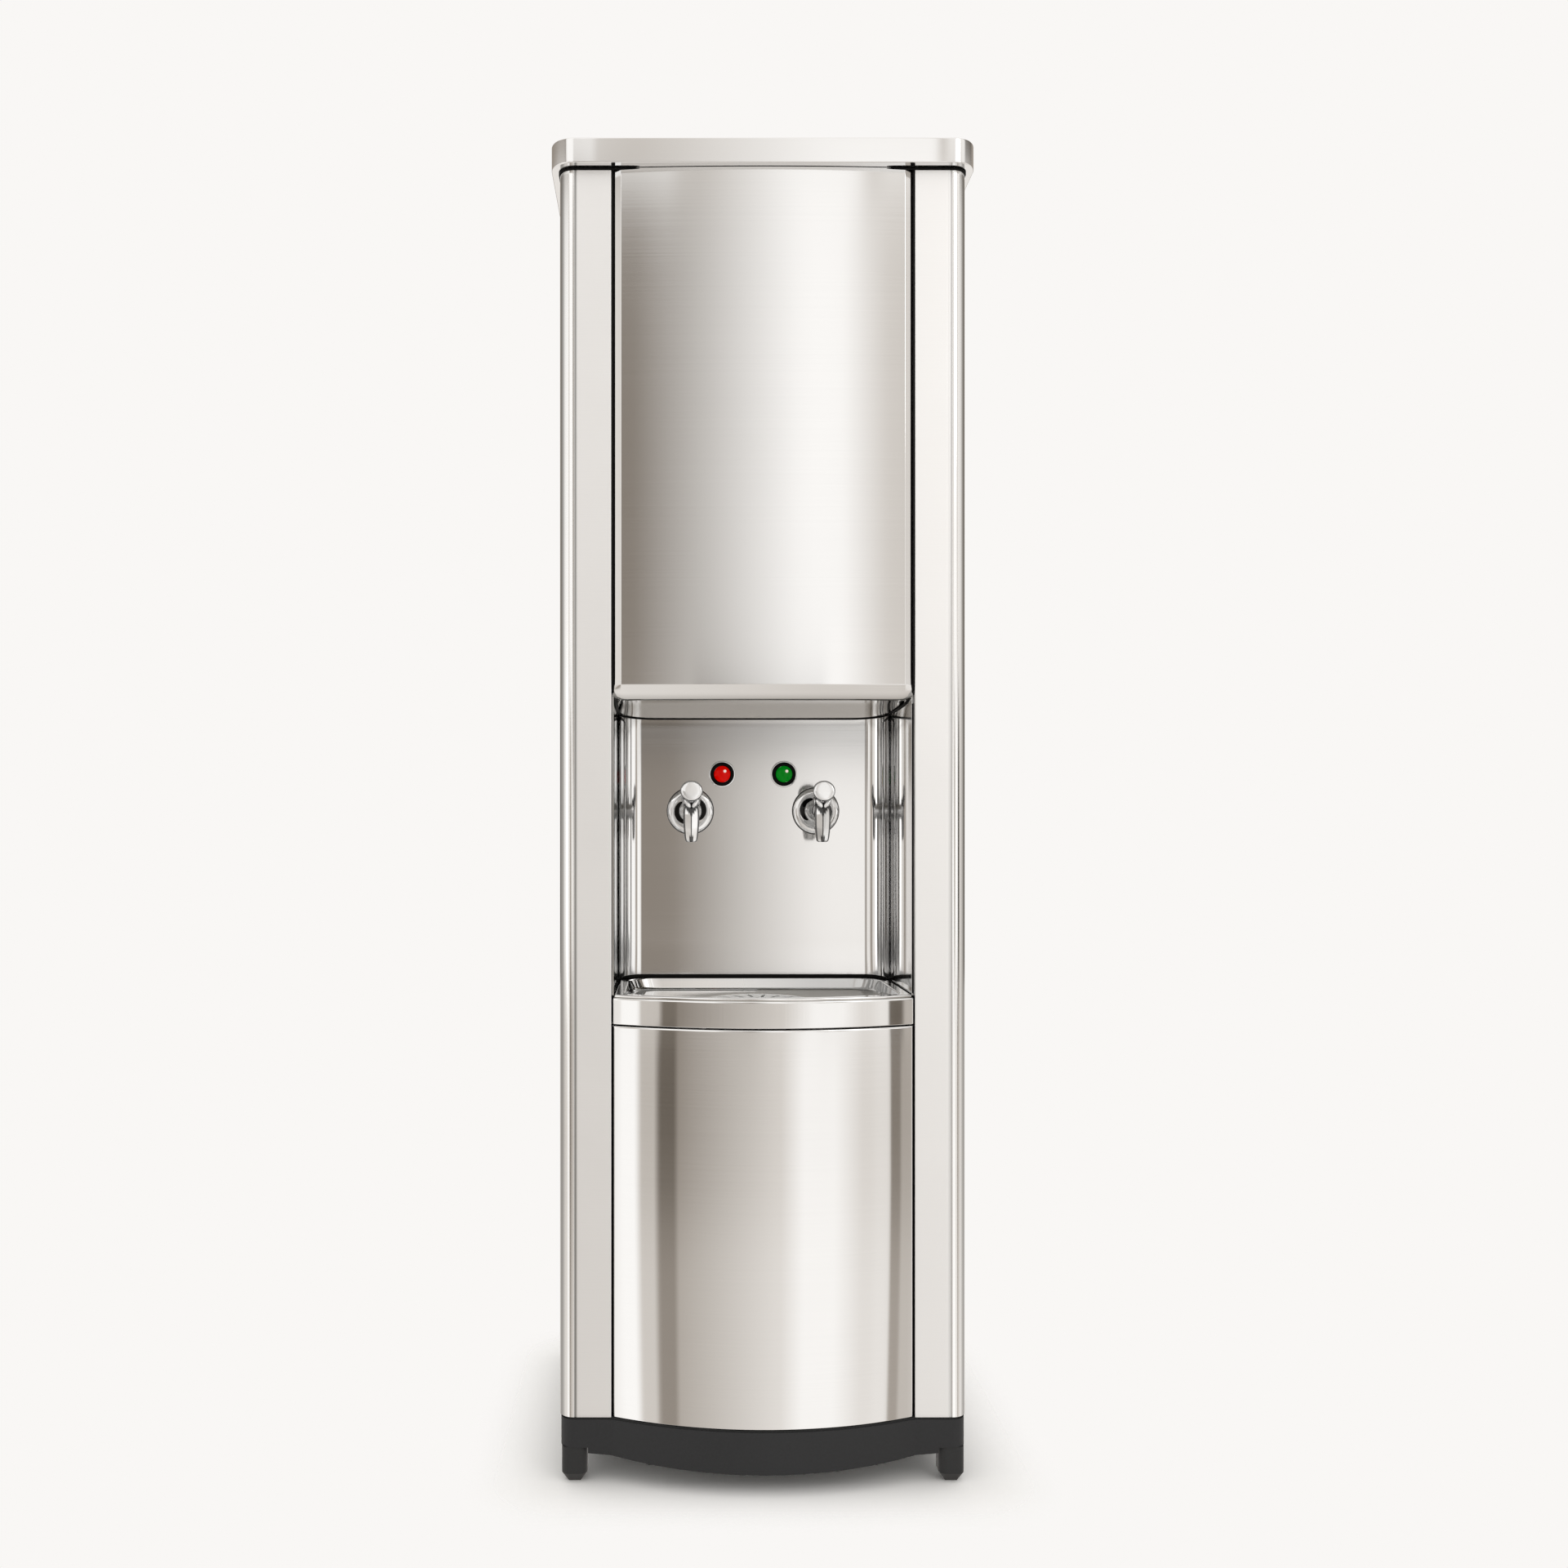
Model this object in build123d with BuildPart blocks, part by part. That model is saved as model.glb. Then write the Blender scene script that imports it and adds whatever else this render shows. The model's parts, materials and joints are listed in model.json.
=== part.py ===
from build123d import *
from math import atan2, cos, degrees, radians, sin, sqrt
import os

# Free-standing water cooler with a storage tank, in millimetres.
# X is to the right seen from the front, Y to the rear, Z up.
# The origin is on the floor, at the centre of the footprint.

os.makedirs("parts", exist_ok=True)

# Body
body_width = 400.0
body_depth = 347.0
panel_height = 1223.7
sheet = 1.2
seat_gap = 0.3
face_width = 51.5
side_corner_radius = 16.0
fold_radius = 2.0
return_depth = 20.0
rear_flange_width = 16.0
panel_gap = 2.5
line_gap = 0.8

# Plinth, feet and base pan
deck_z = 62.5
deck_thickness = 3.5
plinth_proud = 2.0
plinth_inset = 1.5
skirt_wall = 4.0
skirt_end_z = 31.0
skirt_middle_z = 22.0
plinth_corner_radius = 13.0
foot_size = 25.0
foot_step_z = 35.0
foot_inset = 1.0
foot_corner_radius = 7.0
foot_chamfer_height = 9.0
foot_chamfer_width = 6.5
foot_peg_radius = 5.0
foot_peg_height = 14.0
foot_peg_clearance = 0.05
pan_inset = 2.5
pan_floor_z = 15.5
pan_half_width = 130.0
pan_chamfer = 18.0
pan_front_setback = 4.0
pan_rear_setback = 36.0
pan_clearance = 0.5

# Front panels
lower_bow = 31.0
lower_edge_radius = 10.0
lower_return = 25.0
hood_bow = 4.0
hood_edge_radius = 13.0
hood_front_z = 769.0
hood_fall = 8.5
hood_return = 22.0
hood_tray_height = 18.0
niche_top_gap = 1.0

# Niche and drip basin
machine_depth = 172.0
niche_corner_radius = 25.0
niche_setback = 10.0
niche_fit = 1.5
basin_rim_z = 478.0
basin_proud = 2.0
basin_band = 29.0
basin_edge_radius = 3.0
basin_front_radius = 7.0
rim_width = 11.0
bowl_depth = 13.0
bowl_corner_radius = 26.0
bowl_floor_radius = 8.0
strainer_radius = 58.0
strainer_thickness = 2.0
strainer_centre_setback = 70.0
strainer_ledge = 4.0
strainer_recess = 3.5
strainer_clearance = 0.4
strainer_cup_depth = 12.0
strainer_slot_width = 3.2
outer_slot_length = 21.0
outer_slot_radius = 39.5
outer_slots = 18
inner_slot_length = 15.0
inner_slot_radius = 18.5
inner_slots = 8
waste_flange_radius = 22.0
waste_flange_thickness = 1.8
waste_radius = 12.0
waste_length = 42.0
waste_fit = 0.2
hose_stub_length = 20.0
drain_hose_wall = 2.0
drain_hose_fit = 0.2
drain_hose_drop = 60.0
drain_hose_bend = 40.0

# Top cap
cap_height = 24.0
cap_side_overhang = 8.0
cap_front_overhang = 12.0
cap_rear_overhang = 6.0
cap_corner_radius = 24.0
cap_edge_radius = 3.0
cap_flange = 15.0

# Back panel and its fittings
back_panel_margin = 5.0
louvre_length = 110.0
louvre_width = 4.5
louvre_pitch = 28.0
louvre_rows = 14
louvre_column_pitch = 140.0
louvre_centre_x = -20.0
louvre_centre_z = 300.0
fitting_reach = 20.0
fitting_inset = 50.0
drain_outlet_z = 105.0
drain_outlet_radius = 10.0
fitting_bore_radius = 6.5
fitting_nut_thickness = 5.0
inlet_run = 50.0
inlet_above_lid = 38.0
inlet_radius = 10.48
inlet_length = 15.0
gland_z = 205.0
gland_radius = 9.0
gland_bore_radius = 4.0
gland_length = 12.0
fitting_tail = 20.0
screw_radius = 2.0
screw_head_radius = 4.0
screw_head_height = 2.4
screw_length = 8.0
screw_clearance = 0.25
screw_end_margin = 31.85
screw_inset = 10.0
screw_rows = 5

# Rear controls
control_inset = 105.0
dial_z = 690.0
dial_radius = 16.0
dial_height = 14.0
dial_socket_depth = 9.8
dial_flutes = 18
dial_flute_radius = 1.6
dial_flute_offset = 1.0
dial_mark_length = 9.6
dial_mark_width = 2.6
dial_mark_depth = 1.3
dial_shaft_radius = 3.0
dial_shaft_clearance = 0.05
thermostat_size = 40.0
thermostat_depth = 18.0
switch_z = 610.0
switch_pitch = 46.0
switch_width = 20.0
switch_height = 28.0
switch_rim = 2.0
switch_depth = 16.0
rocker_clearance = 0.4
rocker_depth = 8.0
rocker_tilt = 8.0
rocker_crown = 3.2
rocker_hollow = 1.6
switch_bezel = 4.0

# Upper frame and tank shelf
shelf_gap = 4.0
shelf_flange = 14.0
frame_width = 46.0
frame_flange = 14.0
frame_drop = 2.5

# Cold tank
jacket_gap = 17.3
head_space = 70.8
tank_foam = 26.0
foam_wall = 17.0
coil_tube_radius = 4.0
coil_clearance = 0.8
coil_pitch = 30.0
coil_start = 40.0
coil_passes = 6
coil_sweep = 300.0
coil_exit = 92.0
lid_thickness = 3.0
lid_lip = 4.0
lid_plug = 8.0

# Float valve and inlet hose
valve_x = 60.0
valve_offset_y = 35.0
valve_radius = 8.0
valve_shank_radius = 5.0
valve_elbow_radius = 6.0
valve_drop = 36.0
valve_arm_length = 70.0
valve_arm_drop = 50.0
valve_arm_radius = 2.5
valve_ear = 4.0
valve_ear_clearance = 2.0
valve_boss = 6.0
float_radius = 30.0
hose_radius = 5.0
hose_bend = 20.0

# Hot tank
hot_front_gap = 9.7
hot_foam = 8.0
hot_base_z = 565.0
hot_height = 150.0
braze_gap = 0.1
cold_line_setback = 52.0
line_bend = 12.0
hot_rear_gap = 22.5
heater_flange_radius = 26.0
heater_rod_radius = 4.0
heater_rod_spacing = 24.0
heater_length = 90.0
line_radius = 5.0
line_wall = 1.0
line_clearance = 1.5
hot_feed_setback = 10.0

# Taps
tap_x = 69.0
tap_z = 659.0
tap_reach = 69.0
tap_flange_radius = 24.0
tap_flange_edge = 2.5
tap_flange_cone = 7.0
tap_neck_radius = 10.0
tap_shank_radius = 8.0
tap_shank_clearance = 0.3
tap_shank_tail = 26.0
tap_nut_radius = 14.0
tap_nut_thickness = 6.0
spout_radius = 9.0
spout_tip_radius = 6.2
spout_rise = 13.0
spout_drop = 34.0
spout_shoulder = 3.0
notch_width = 5.0
notch_height = 9.0
spout_bore_radius = 4.0
tongue_width = 12.0
tongue_rise = 4.0
gallery_radius = 4.0
gallery_rise = 5.0
chamber_radius = 6.0
chamber_top_drop = 2.0
chamber_height = 17.0
stem_radius = 2.0
stem_clearance = 0.05
stem_washer_radius = 5.0
stem_washer_thickness = 3.0
stem_gap = 0.2
stem_above_dome = 3.2
spring_wall = 0.8
spring_radius = 4.8
pin_radius = 1.5
pin_clearance = 0.05
pivot_setback = 4.0
pivot_rise = 9.0
lever_ear = 3.0
lever_plate = 3.6
lever_gap = 0.3
lever_side_gap = 0.3
pad_radius = 11.0
pad_thickness = 6.0
pad_reach = 21.0
pad_rise = 9.0
pad_tilt = 30.0

# Pilot lamps
lamp_x = 34.0
lamp_z = 699.5
bezel_radius = 12.5
bezel_height = 4.5
bezel_barrel_radius = 10.0
bezel_barrel_length = 16.0
lens_radius = 8.4
lens_height = 6.0
lens_fit = 0.1

# Cooling circuit
compressor_x = -20.0
compressor_y = 62.0
compressor_radius = 70.0
compressor_height = 160.0
compressor_seam_height = 86.0
compressor_seam = 4.0
plate_width = 196.0
plate_depth = 110.0
plate_thickness = 3.0
mount_hole_radius = 6.0
mount_edge = 13.0
grommet_radius = 10.0
grommet_height = 12.0
stud_radius = 4.0
relay_width = 44.0
relay_height = 54.0
relay_depth = 30.0
condenser_side_gap = 23.5
condenser_bottom_z = 100.0
condenser_runs = 11
condenser_top_z = 540.0
condenser_tube_radius = 2.5
condenser_wire_radius = 0.8
condenser_wires = 12
condenser_weld = 0.7
suction_radius = 4.0
capillary_radius = 1.5
circuit_bend = 12.0
riser_gap = 4.0
lane_inset = 35.0
lane_straight = 4.7
drier_radius = 9.5
drier_length = 80.0
drier_base_z = 150.0

# Places worked out from the sizes
half_width = body_width / 2
opening_half = half_width - face_width
fitting_x = half_width - fitting_inset
inlet_x = valve_x + inlet_run
control_x = half_width - control_inset
left_lane_x = lane_inset - half_width
front_y = (lower_bow + plinth_proud - body_depth - fitting_reach) / 2
back_y = front_y + body_depth
panel_bottom_z = deck_z + sheet + seat_gap
panel_top_z = panel_bottom_z + panel_height
cap_bottom_z = panel_top_z + seat_gap
hood_rear_z = hood_front_z - hood_fall
niche_top_z = hood_front_z + hood_tray_height + niche_top_gap
shelf_z = niche_top_z + shelf_gap
band_bottom_z = basin_rim_z - basin_band
lower_top_z = band_bottom_z - line_gap
niche_half = opening_half - seat_gap - sheet
niche_wall_y = back_y - machine_depth
hood_half = opening_half - panel_gap
inner_front_y = front_y + max(hood_return, return_depth) + seat_gap
inner_back_y = back_y - 2 * sheet - seat_gap
inner_half = half_width - sheet - seat_gap
tank_centre_y = (inner_front_y + inner_back_y) / 2
exit_y = tank_centre_y + coil_exit
left_lane_y = exit_y + circuit_bend + lane_straight
jacket_radius = (inner_back_y - inner_front_y) / 2 - jacket_gap
screw_x = half_width - screw_inset
lid_z = panel_top_z - frame_drop - sheet - frame_flange - head_space
inlet_z = lid_z + lid_thickness + inlet_above_lid


def save(piece, name):
    """Name a finished piece and write it as a STEP file."""
    piece.part.label = name
    export_step(piece.part, f"parts/{name}.step")


def bowed_plan(half, y, bow, rear_y, front_radius, rear_radius):
    """Plan of a panel with an arc for its front and rounded corners."""
    with BuildSketch() as plan:
        with BuildLine():
            ThreePointArc((-half, y), (0, y - bow), (half, y))
            Polyline((half, y), (half, rear_y), (-half, rear_y), (-half, y))
        make_face()
        if front_radius > 0:
            fillet(plan.vertices().group_by(Axis.Y)[0], radius=front_radius)
        if rear_radius > 0:
            fillet(plan.vertices().group_by(Axis.Y)[-1], radius=rear_radius)
    return plan.sketch


def plan_rectangle(half, low_y, high_y, corner):
    """Rounded rectangle in plan, centred on X."""
    with BuildSketch() as plan:
        with Locations((0, (low_y + high_y) / 2)):
            RectangleRounded(2 * half, high_y - low_y, corner)
    return plan.sketch


def tube(points, bend, outer, inner=0.0):
    """Round tube along straight runs joined by tangent arcs."""
    with BuildPart() as run:
        with BuildLine() as route:
            if len(points) > 2:
                FilletPolyline(*points, radius=bend)
            else:
                Line(*points)
        with BuildSketch(Plane(origin=points[0], z_dir=route.line % 0)):
            Circle(outer)
            if inner > 0:
                Circle(inner, mode=Mode.SUBTRACT)
        sweep()
    return run


def along_y(x, z, near_y, far_y, radius):
    """Cylinder along Y between two planes, for the caller to add or cut."""
    rod = Cylinder(radius, far_y - near_y, mode=Mode.PRIVATE)
    return Pos(x, (near_y + far_y) / 2, z) * Rot(90, 0, 0) * rod


def along_z(x, y, low_z, high_z, radius):
    """Cylinder along Z between two planes, for the caller to add or cut."""
    rod = Cylinder(radius, high_z - low_z, mode=Mode.PRIVATE)
    return Pos(x, y, (low_z + high_z) / 2) * rod


# Well of the base pan
pan_front_y = front_y + pan_front_setback
pan_back_y = back_y - pan_rear_setback
stud_places = [
    (compressor_x + i * (plate_width / 2 - mount_edge), compressor_y + j * (plate_depth / 2 - mount_edge))
    for i in (-1, 1)
    for j in (-1, 1)
]


def pan_well(inset):
    """Plan of the pan's well with its chamfered front corners."""
    with BuildSketch() as plan:
        with Locations((0, (pan_front_y + pan_back_y) / 2)):
            Rectangle(2 * (pan_half_width - inset), pan_back_y - pan_front_y - 2 * inset)
        chamfer(plan.vertices().group_by(Axis.Y)[0], length=pan_chamfer)
        fillet(plan.vertices().group_by(Axis.Y)[-1], radius=pan_chamfer / 2)
    return plan.sketch


# Plinth: a moulded ring with a bowed front and a boss at each corner
plinth_half = half_width - plinth_inset
plinth_front_y = front_y - plinth_proud
foot_x = plinth_half - foot_inset - foot_size / 2
foot_front_y = plinth_front_y + foot_inset + foot_size / 2
foot_back_y = back_y - foot_inset - foot_size / 2
foot_places = [(side * foot_x, y) for side in (-1, 1) for y in (foot_front_y, foot_back_y)]
boss_size = foot_size + 2 * foot_inset


def plinth_plan(inset):
    """Outline of the plinth, drawn in by the inset."""
    with BuildSketch() as plan:
        with BuildLine():
            Polyline(
                (-opening_half, plinth_front_y),
                (-plinth_half, plinth_front_y),
                (-plinth_half, back_y),
                (plinth_half, back_y),
                (plinth_half, plinth_front_y),
                (opening_half, plinth_front_y),
            )
            ThreePointArc(
                (opening_half, plinth_front_y),
                (0, plinth_front_y - lower_bow),
                (-opening_half, plinth_front_y),
            )
        make_face()
        corners = plan.vertices().filter_by(lambda v: abs(v.X) > opening_half + 1)
        fillet(corners, radius=plinth_corner_radius)
        if inset > 0:
            offset(amount=-inset, mode=Mode.REPLACE)
    return plan.sketch


with BuildPart() as plinth:
    with BuildSketch(Plane.XY.offset(skirt_middle_z)):
        add(plinth_plan(0))
    extrude(amount=deck_z - skirt_middle_z)
    with BuildSketch(Plane.XY.offset(skirt_middle_z)):
        add(plinth_plan(skirt_wall))
    extrude(amount=deck_z - deck_thickness - skirt_middle_z, mode=Mode.SUBTRACT)
    with BuildSketch(Plane.XY.offset(deck_z - deck_thickness)):
        add(pan_well(-pan_clearance))
    extrude(amount=deck_thickness, mode=Mode.SUBTRACT)
    with BuildSketch(Plane.XZ.offset(-body_depth)):
        with BuildLine():
            ThreePointArc((-foot_x, skirt_end_z), (0, skirt_middle_z), (foot_x, skirt_end_z))
            Polyline(
                (foot_x, skirt_end_z),
                (half_width, skirt_end_z),
                (half_width, 0),
                (-half_width, 0),
                (-half_width, skirt_end_z),
                (-foot_x, skirt_end_z),
            )
        make_face()
    extrude(amount=2 * body_depth, mode=Mode.SUBTRACT)
    with BuildSketch(Plane.XY.offset(foot_step_z)):
        with Locations(*foot_places):
            Rectangle(boss_size, boss_size)
    extrude(amount=deck_z - deck_thickness - foot_step_z)
    with Locations(*[(x, y, foot_step_z / 2) for x, y in foot_places]):
        Box(boss_size, boss_size, foot_step_z, mode=Mode.SUBTRACT)
    with BuildSketch(Plane.XY.offset(skirt_middle_z)):
        add(plinth_plan(0))
    extrude(amount=deck_z - skirt_middle_z, mode=Mode.INTERSECT)
    with BuildSketch(Plane.XY.offset(foot_step_z)):
        with Locations(*foot_places):
            Circle(foot_peg_radius + foot_peg_clearance)
    extrude(amount=foot_peg_height + seat_gap, mode=Mode.SUBTRACT)
save(plinth, "plinth")

with BuildPart() as feet:
    with BuildSketch():
        with Locations(*foot_places):
            RectangleRounded(foot_size, foot_size, foot_corner_radius)
    extrude(amount=foot_step_z)
    sole_edges = feet.faces().filter_by(Plane.XY).group_by(Axis.Z)[0].edges()
    chamfer(sole_edges, length=foot_chamfer_height, length2=foot_chamfer_width)
    with BuildSketch(Plane.XY.offset(foot_step_z)):
        with Locations(*foot_places):
            Circle(foot_peg_radius)
    extrude(amount=foot_peg_height)
save(feet, "feet")

# Base pan: a flange on the deck round a well that carries the compressor
with BuildPart() as base_pan:
    with BuildSketch(Plane.XY.offset(deck_z)):
        add(plinth_plan(pan_inset))
    extrude(amount=sheet)
    with BuildSketch(Plane.XY.offset(pan_floor_z)):
        add(pan_well(0))
    extrude(amount=deck_z + sheet - pan_floor_z)
    with BuildSketch(Plane.XY.offset(pan_floor_z + sheet)):
        add(pan_well(sheet))
    extrude(amount=deck_z - pan_floor_z, mode=Mode.SUBTRACT)
    with BuildSketch(Plane.XY.offset(pan_floor_z + sheet)):
        with Locations(*stud_places):
            Circle(stud_radius)
    extrude(amount=grommet_height + plate_thickness + grommet_height / 2)
save(base_pan, "base_pan")


# Side panels: each is one bent sheet with the fixing holes in its rear flange
screw_pitch = (panel_height - 2 * screw_end_margin) / (screw_rows - 1)
screw_rows_z = [panel_bottom_z + screw_end_margin + row * screw_pitch for row in range(screw_rows)]


def side_panel(side):
    """Side panel on the right for 1 and on the left for -1."""
    rear_y = back_y - sheet
    with BuildPart() as panel:
        with BuildSketch(Plane.XY.offset(panel_bottom_z)):
            with BuildLine():
                FilletPolyline(
                    (side * opening_half, front_y + return_depth),
                    (side * opening_half, front_y),
                    (side * half_width, front_y),
                    (side * half_width, rear_y),
                    (side * (half_width - rear_flange_width), rear_y),
                    radius=[fold_radius, side_corner_radius, fold_radius],
                )
                offset(amount=sheet, side=Side.LEFT if side > 0 else Side.RIGHT)
            make_face()
        extrude(amount=panel_height)
        for z in screw_rows_z:
            hole = along_y(side * screw_x, z, rear_y - 2 * sheet, rear_y + sheet,
                           screw_radius + screw_clearance)
            add(hole, mode=Mode.SUBTRACT)
    return panel


for side, side_name in ((-1, "left"), (1, "right")):
    save(side_panel(side), f"{side_name}_side_panel")

# Lower front panel: a bowed sheet with rolled ends
with BuildPart() as lower_panel:
    with BuildSketch(Plane.XY.offset(panel_bottom_z)):
        lower_back_y = front_y + lower_return
        add(bowed_plan(hood_half, front_y, lower_bow, lower_back_y, lower_edge_radius, 0))
        offset(amount=-sheet, mode=Mode.SUBTRACT)
        with Locations((0, lower_back_y)):
            Rectangle(2 * (hood_half - sheet), 3 * sheet, mode=Mode.SUBTRACT)
    extrude(amount=lower_top_z - panel_bottom_z)
save(lower_panel, "lower_panel")

# Hood: a bowed sheet that rolls under into the ceiling of the niche
hood_back_y = niche_wall_y - niche_fit
hood_rear_radius = niche_corner_radius - niche_fit
run_out = 2 * hood_edge_radius
slope = (hood_front_z - hood_rear_z) / (hood_back_y - front_y)


def hood_form(inset):
    """Solid inside the hood's sheet, drawn in by the inset, open-ended above and behind."""
    low_y = front_y - hood_bow - 1
    high_y = hood_back_y + 2 * run_out
    with BuildPart() as form:
        with BuildSketch(Plane.XY.offset(hood_rear_z - run_out)):
            rear_y = hood_back_y + run_out + inset
            add(bowed_plan(hood_half - inset, front_y + inset, hood_bow, rear_y, 0, 0))
        extrude(amount=panel_top_z - hood_rear_z + run_out + inset)
        with BuildSketch(Plane.YZ.offset(-half_width)):
            with BuildLine():
                Polyline(
                    (low_y, hood_front_z + slope * (front_y - low_y) + inset),
                    (high_y, hood_front_z + slope * (front_y - high_y) + inset),
                    (high_y, panel_top_z + 2 * sheet),
                    (low_y, panel_top_z + 2 * sheet),
                    close=True,
                )
            make_face()
        extrude(amount=body_width, mode=Mode.INTERSECT)
        upright = form.edges().filter_by(Axis.Z).group_by(Axis.Y)[0]
        underside = form.faces().sort_by(Axis.Z)[0].edges()
        rear_y = underside.sort_by(Axis.Y)[-1].center().Y
        rolled = upright + underside.filter_by(lambda edge: edge.center().Y < rear_y - 1)
        fillet(rolled, radius=hood_edge_radius - inset)
    return form.part


with BuildPart() as hood_panel:
    add(hood_form(0))
    add(hood_form(sheet), mode=Mode.SUBTRACT)
    with BuildSketch(Plane.XY.offset(hood_rear_z - run_out)):
        add(bowed_plan(hood_half + 1, front_y - 1, hood_bow, hood_back_y, 0, hood_rear_radius + 1))
    extrude(amount=panel_top_z - hood_rear_z + run_out, mode=Mode.INTERSECT)
    with BuildSketch(Plane.XY.offset(hood_front_z + hood_tray_height)):
        with Locations((0, front_y + hood_return + body_depth / 2)):
            Rectangle(body_width, body_depth)
    extrude(amount=panel_height, mode=Mode.SUBTRACT)
save(hood_panel, "hood_panel")

# Niche shell: side walls and rear wall in one bent sheet
tap_places = {"left": -tap_x, "right": tap_x}
lamp_places = {"left": -lamp_x, "right": lamp_x}
with BuildPart() as niche_shell:
    with BuildSketch(Plane.XY.offset(band_bottom_z)):
        with BuildLine():
            niche_front_y = front_y + niche_setback
            FilletPolyline(
                (-niche_half, niche_front_y),
                (-niche_half, niche_wall_y),
                (niche_half, niche_wall_y),
                (niche_half, niche_front_y),
                radius=niche_corner_radius,
            )
            offset(amount=sheet, side=Side.LEFT)
        make_face()
    extrude(amount=niche_top_z - band_bottom_z)
    for x in tap_places.values():
        add(
            along_y(x, tap_z, niche_wall_y - sheet, niche_wall_y + 2 * sheet,
                    tap_shank_radius + tap_shank_clearance),
            mode=Mode.SUBTRACT,
        )
    for x in lamp_places.values():
        add(
            along_y(x, lamp_z, niche_wall_y - sheet, niche_wall_y + 2 * sheet,
                    bezel_barrel_radius + tap_shank_clearance),
            mode=Mode.SUBTRACT,
        )
save(niche_shell, "niche_shell")

# Drip basin: a pressed sheet with a flat rim, a shallow bowl and a front band
basin_half = niche_half - line_gap
basin_bow = lower_bow + basin_proud
basin_back_y = niche_wall_y - niche_fit
strainer_y = front_y + strainer_centre_setback
bowl_floor_z = basin_rim_z - bowl_depth
ledge_z = bowl_floor_z - strainer_recess
cup_floor_z = ledge_z - strainer_cup_depth


def bowl_form(wall):
    """Solid that fills the bowl, grown all round by the wall."""
    with BuildPart() as form:
        with BuildSketch(Plane.XY.offset(bowl_floor_z - wall)):
            with BuildSketch(mode=Mode.PRIVATE) as rim:
                add(bowed_plan(basin_half, front_y, basin_bow, basin_back_y, 0, 0))
                offset(amount=wall - rim_width, kind=Kind.INTERSECTION)
                fillet(rim.vertices(), radius=bowl_corner_radius + wall)
            add(rim.sketch)
        extrude(amount=bowl_depth + wall)
        floor_edges = form.faces().sort_by(Axis.Z)[0].edges()
        fillet(floor_edges, radius=bowl_floor_radius + wall)
        recess = strainer_radius + strainer_clearance + wall
        add(along_z(0, strainer_y, ledge_z - wall, bowl_floor_z, recess))
        cup = strainer_radius - strainer_ledge + wall
        add(along_z(0, strainer_y, cup_floor_z - wall, ledge_z, cup))
    return form.part


with BuildPart() as basin:
    basin_plan = bowed_plan(
        basin_half, front_y, basin_bow, basin_back_y,
        basin_front_radius, niche_corner_radius - niche_fit,
    )
    with BuildSketch(Plane.XY.offset(band_bottom_z)):
        add(basin_plan)
    extrude(amount=basin_band)
    fillet(basin.faces().sort_by(Axis.Z)[-1].edges(), radius=basin_edge_radius)
    with BuildSketch(Plane.XY.offset(band_bottom_z)):
        add(basin_plan)
        offset(amount=-sheet, mode=Mode.REPLACE)
    extrude(amount=basin_band - basin_edge_radius, mode=Mode.SUBTRACT)
    with BuildSketch(Plane.XY.offset(basin_rim_z - basin_edge_radius)):
        add(basin_plan)
        offset(amount=-basin_edge_radius, mode=Mode.REPLACE)
    extrude(amount=basin_edge_radius - sheet, mode=Mode.SUBTRACT)
    add(bowl_form(sheet))
    add(bowl_form(0), mode=Mode.SUBTRACT)
    add(
        along_z(0, strainer_y, cup_floor_z - 2 * sheet, cup_floor_z + sheet, waste_radius + waste_fit),
        mode=Mode.SUBTRACT,
    )
save(basin, "basin")

# Strainer: a lift-out disc with two rings of slots
with BuildPart() as basin_strainer:
    with BuildSketch(Plane.XY.offset(ledge_z)):
        with Locations((0, strainer_y)):
            Circle(strainer_radius)
    extrude(amount=strainer_thickness)
    fillet(basin_strainer.faces().sort_by(Axis.Z)[-1].edges(), radius=strainer_thickness / 2)
    with BuildSketch(Plane.XY.offset(ledge_z)):
        with Locations((0, strainer_y)):
            with PolarLocations(outer_slot_radius, outer_slots):
                SlotOverall(outer_slot_length, strainer_slot_width)
            with PolarLocations(inner_slot_radius, inner_slots):
                SlotOverall(inner_slot_length, strainer_slot_width)
    extrude(amount=strainer_thickness, mode=Mode.SUBTRACT)
save(basin_strainer, "basin_strainer")

# Waste: a flanged tail through the floor of the strainer's cup
waste_end_z = cup_floor_z - waste_length
stub_radius = waste_radius - drain_hose_wall - drain_hose_fit
with BuildPart() as drain_tail:
    add(along_z(0, strainer_y, cup_floor_z, cup_floor_z + waste_flange_thickness, waste_flange_radius))
    add(along_z(0, strainer_y, waste_end_z, cup_floor_z, waste_radius))
    add(along_z(0, strainer_y, waste_end_z - hose_stub_length, waste_end_z, stub_radius))
    bore_low_z = waste_end_z - hose_stub_length
    bore_radius = stub_radius - drain_hose_wall
    add(
        along_z(0, strainer_y, bore_low_z, cup_floor_z + 2 * sheet, bore_radius),
        mode=Mode.SUBTRACT,
    )
save(drain_tail, "drain_tail")

# Drain hose: from the waste to the outlet in the back panel
rear_inner_y = back_y - sheet
hose_end_y = rear_inner_y - fitting_nut_thickness - seat_gap
drain_hose = tube(
    [
        (0, strainer_y, waste_end_z - seat_gap),
        (0, strainer_y, waste_end_z - drain_hose_drop - drain_hose_bend),
        (fitting_x, strainer_y, waste_end_z - drain_hose_drop - 2 * drain_hose_bend),
        (fitting_x, strainer_y, drain_outlet_z),
        (fitting_x, hose_end_y, drain_outlet_z),
    ],
    drain_hose_bend,
    waste_radius,
    waste_radius - drain_hose_wall,
)
save(drain_hose, "drain_hose")


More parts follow.
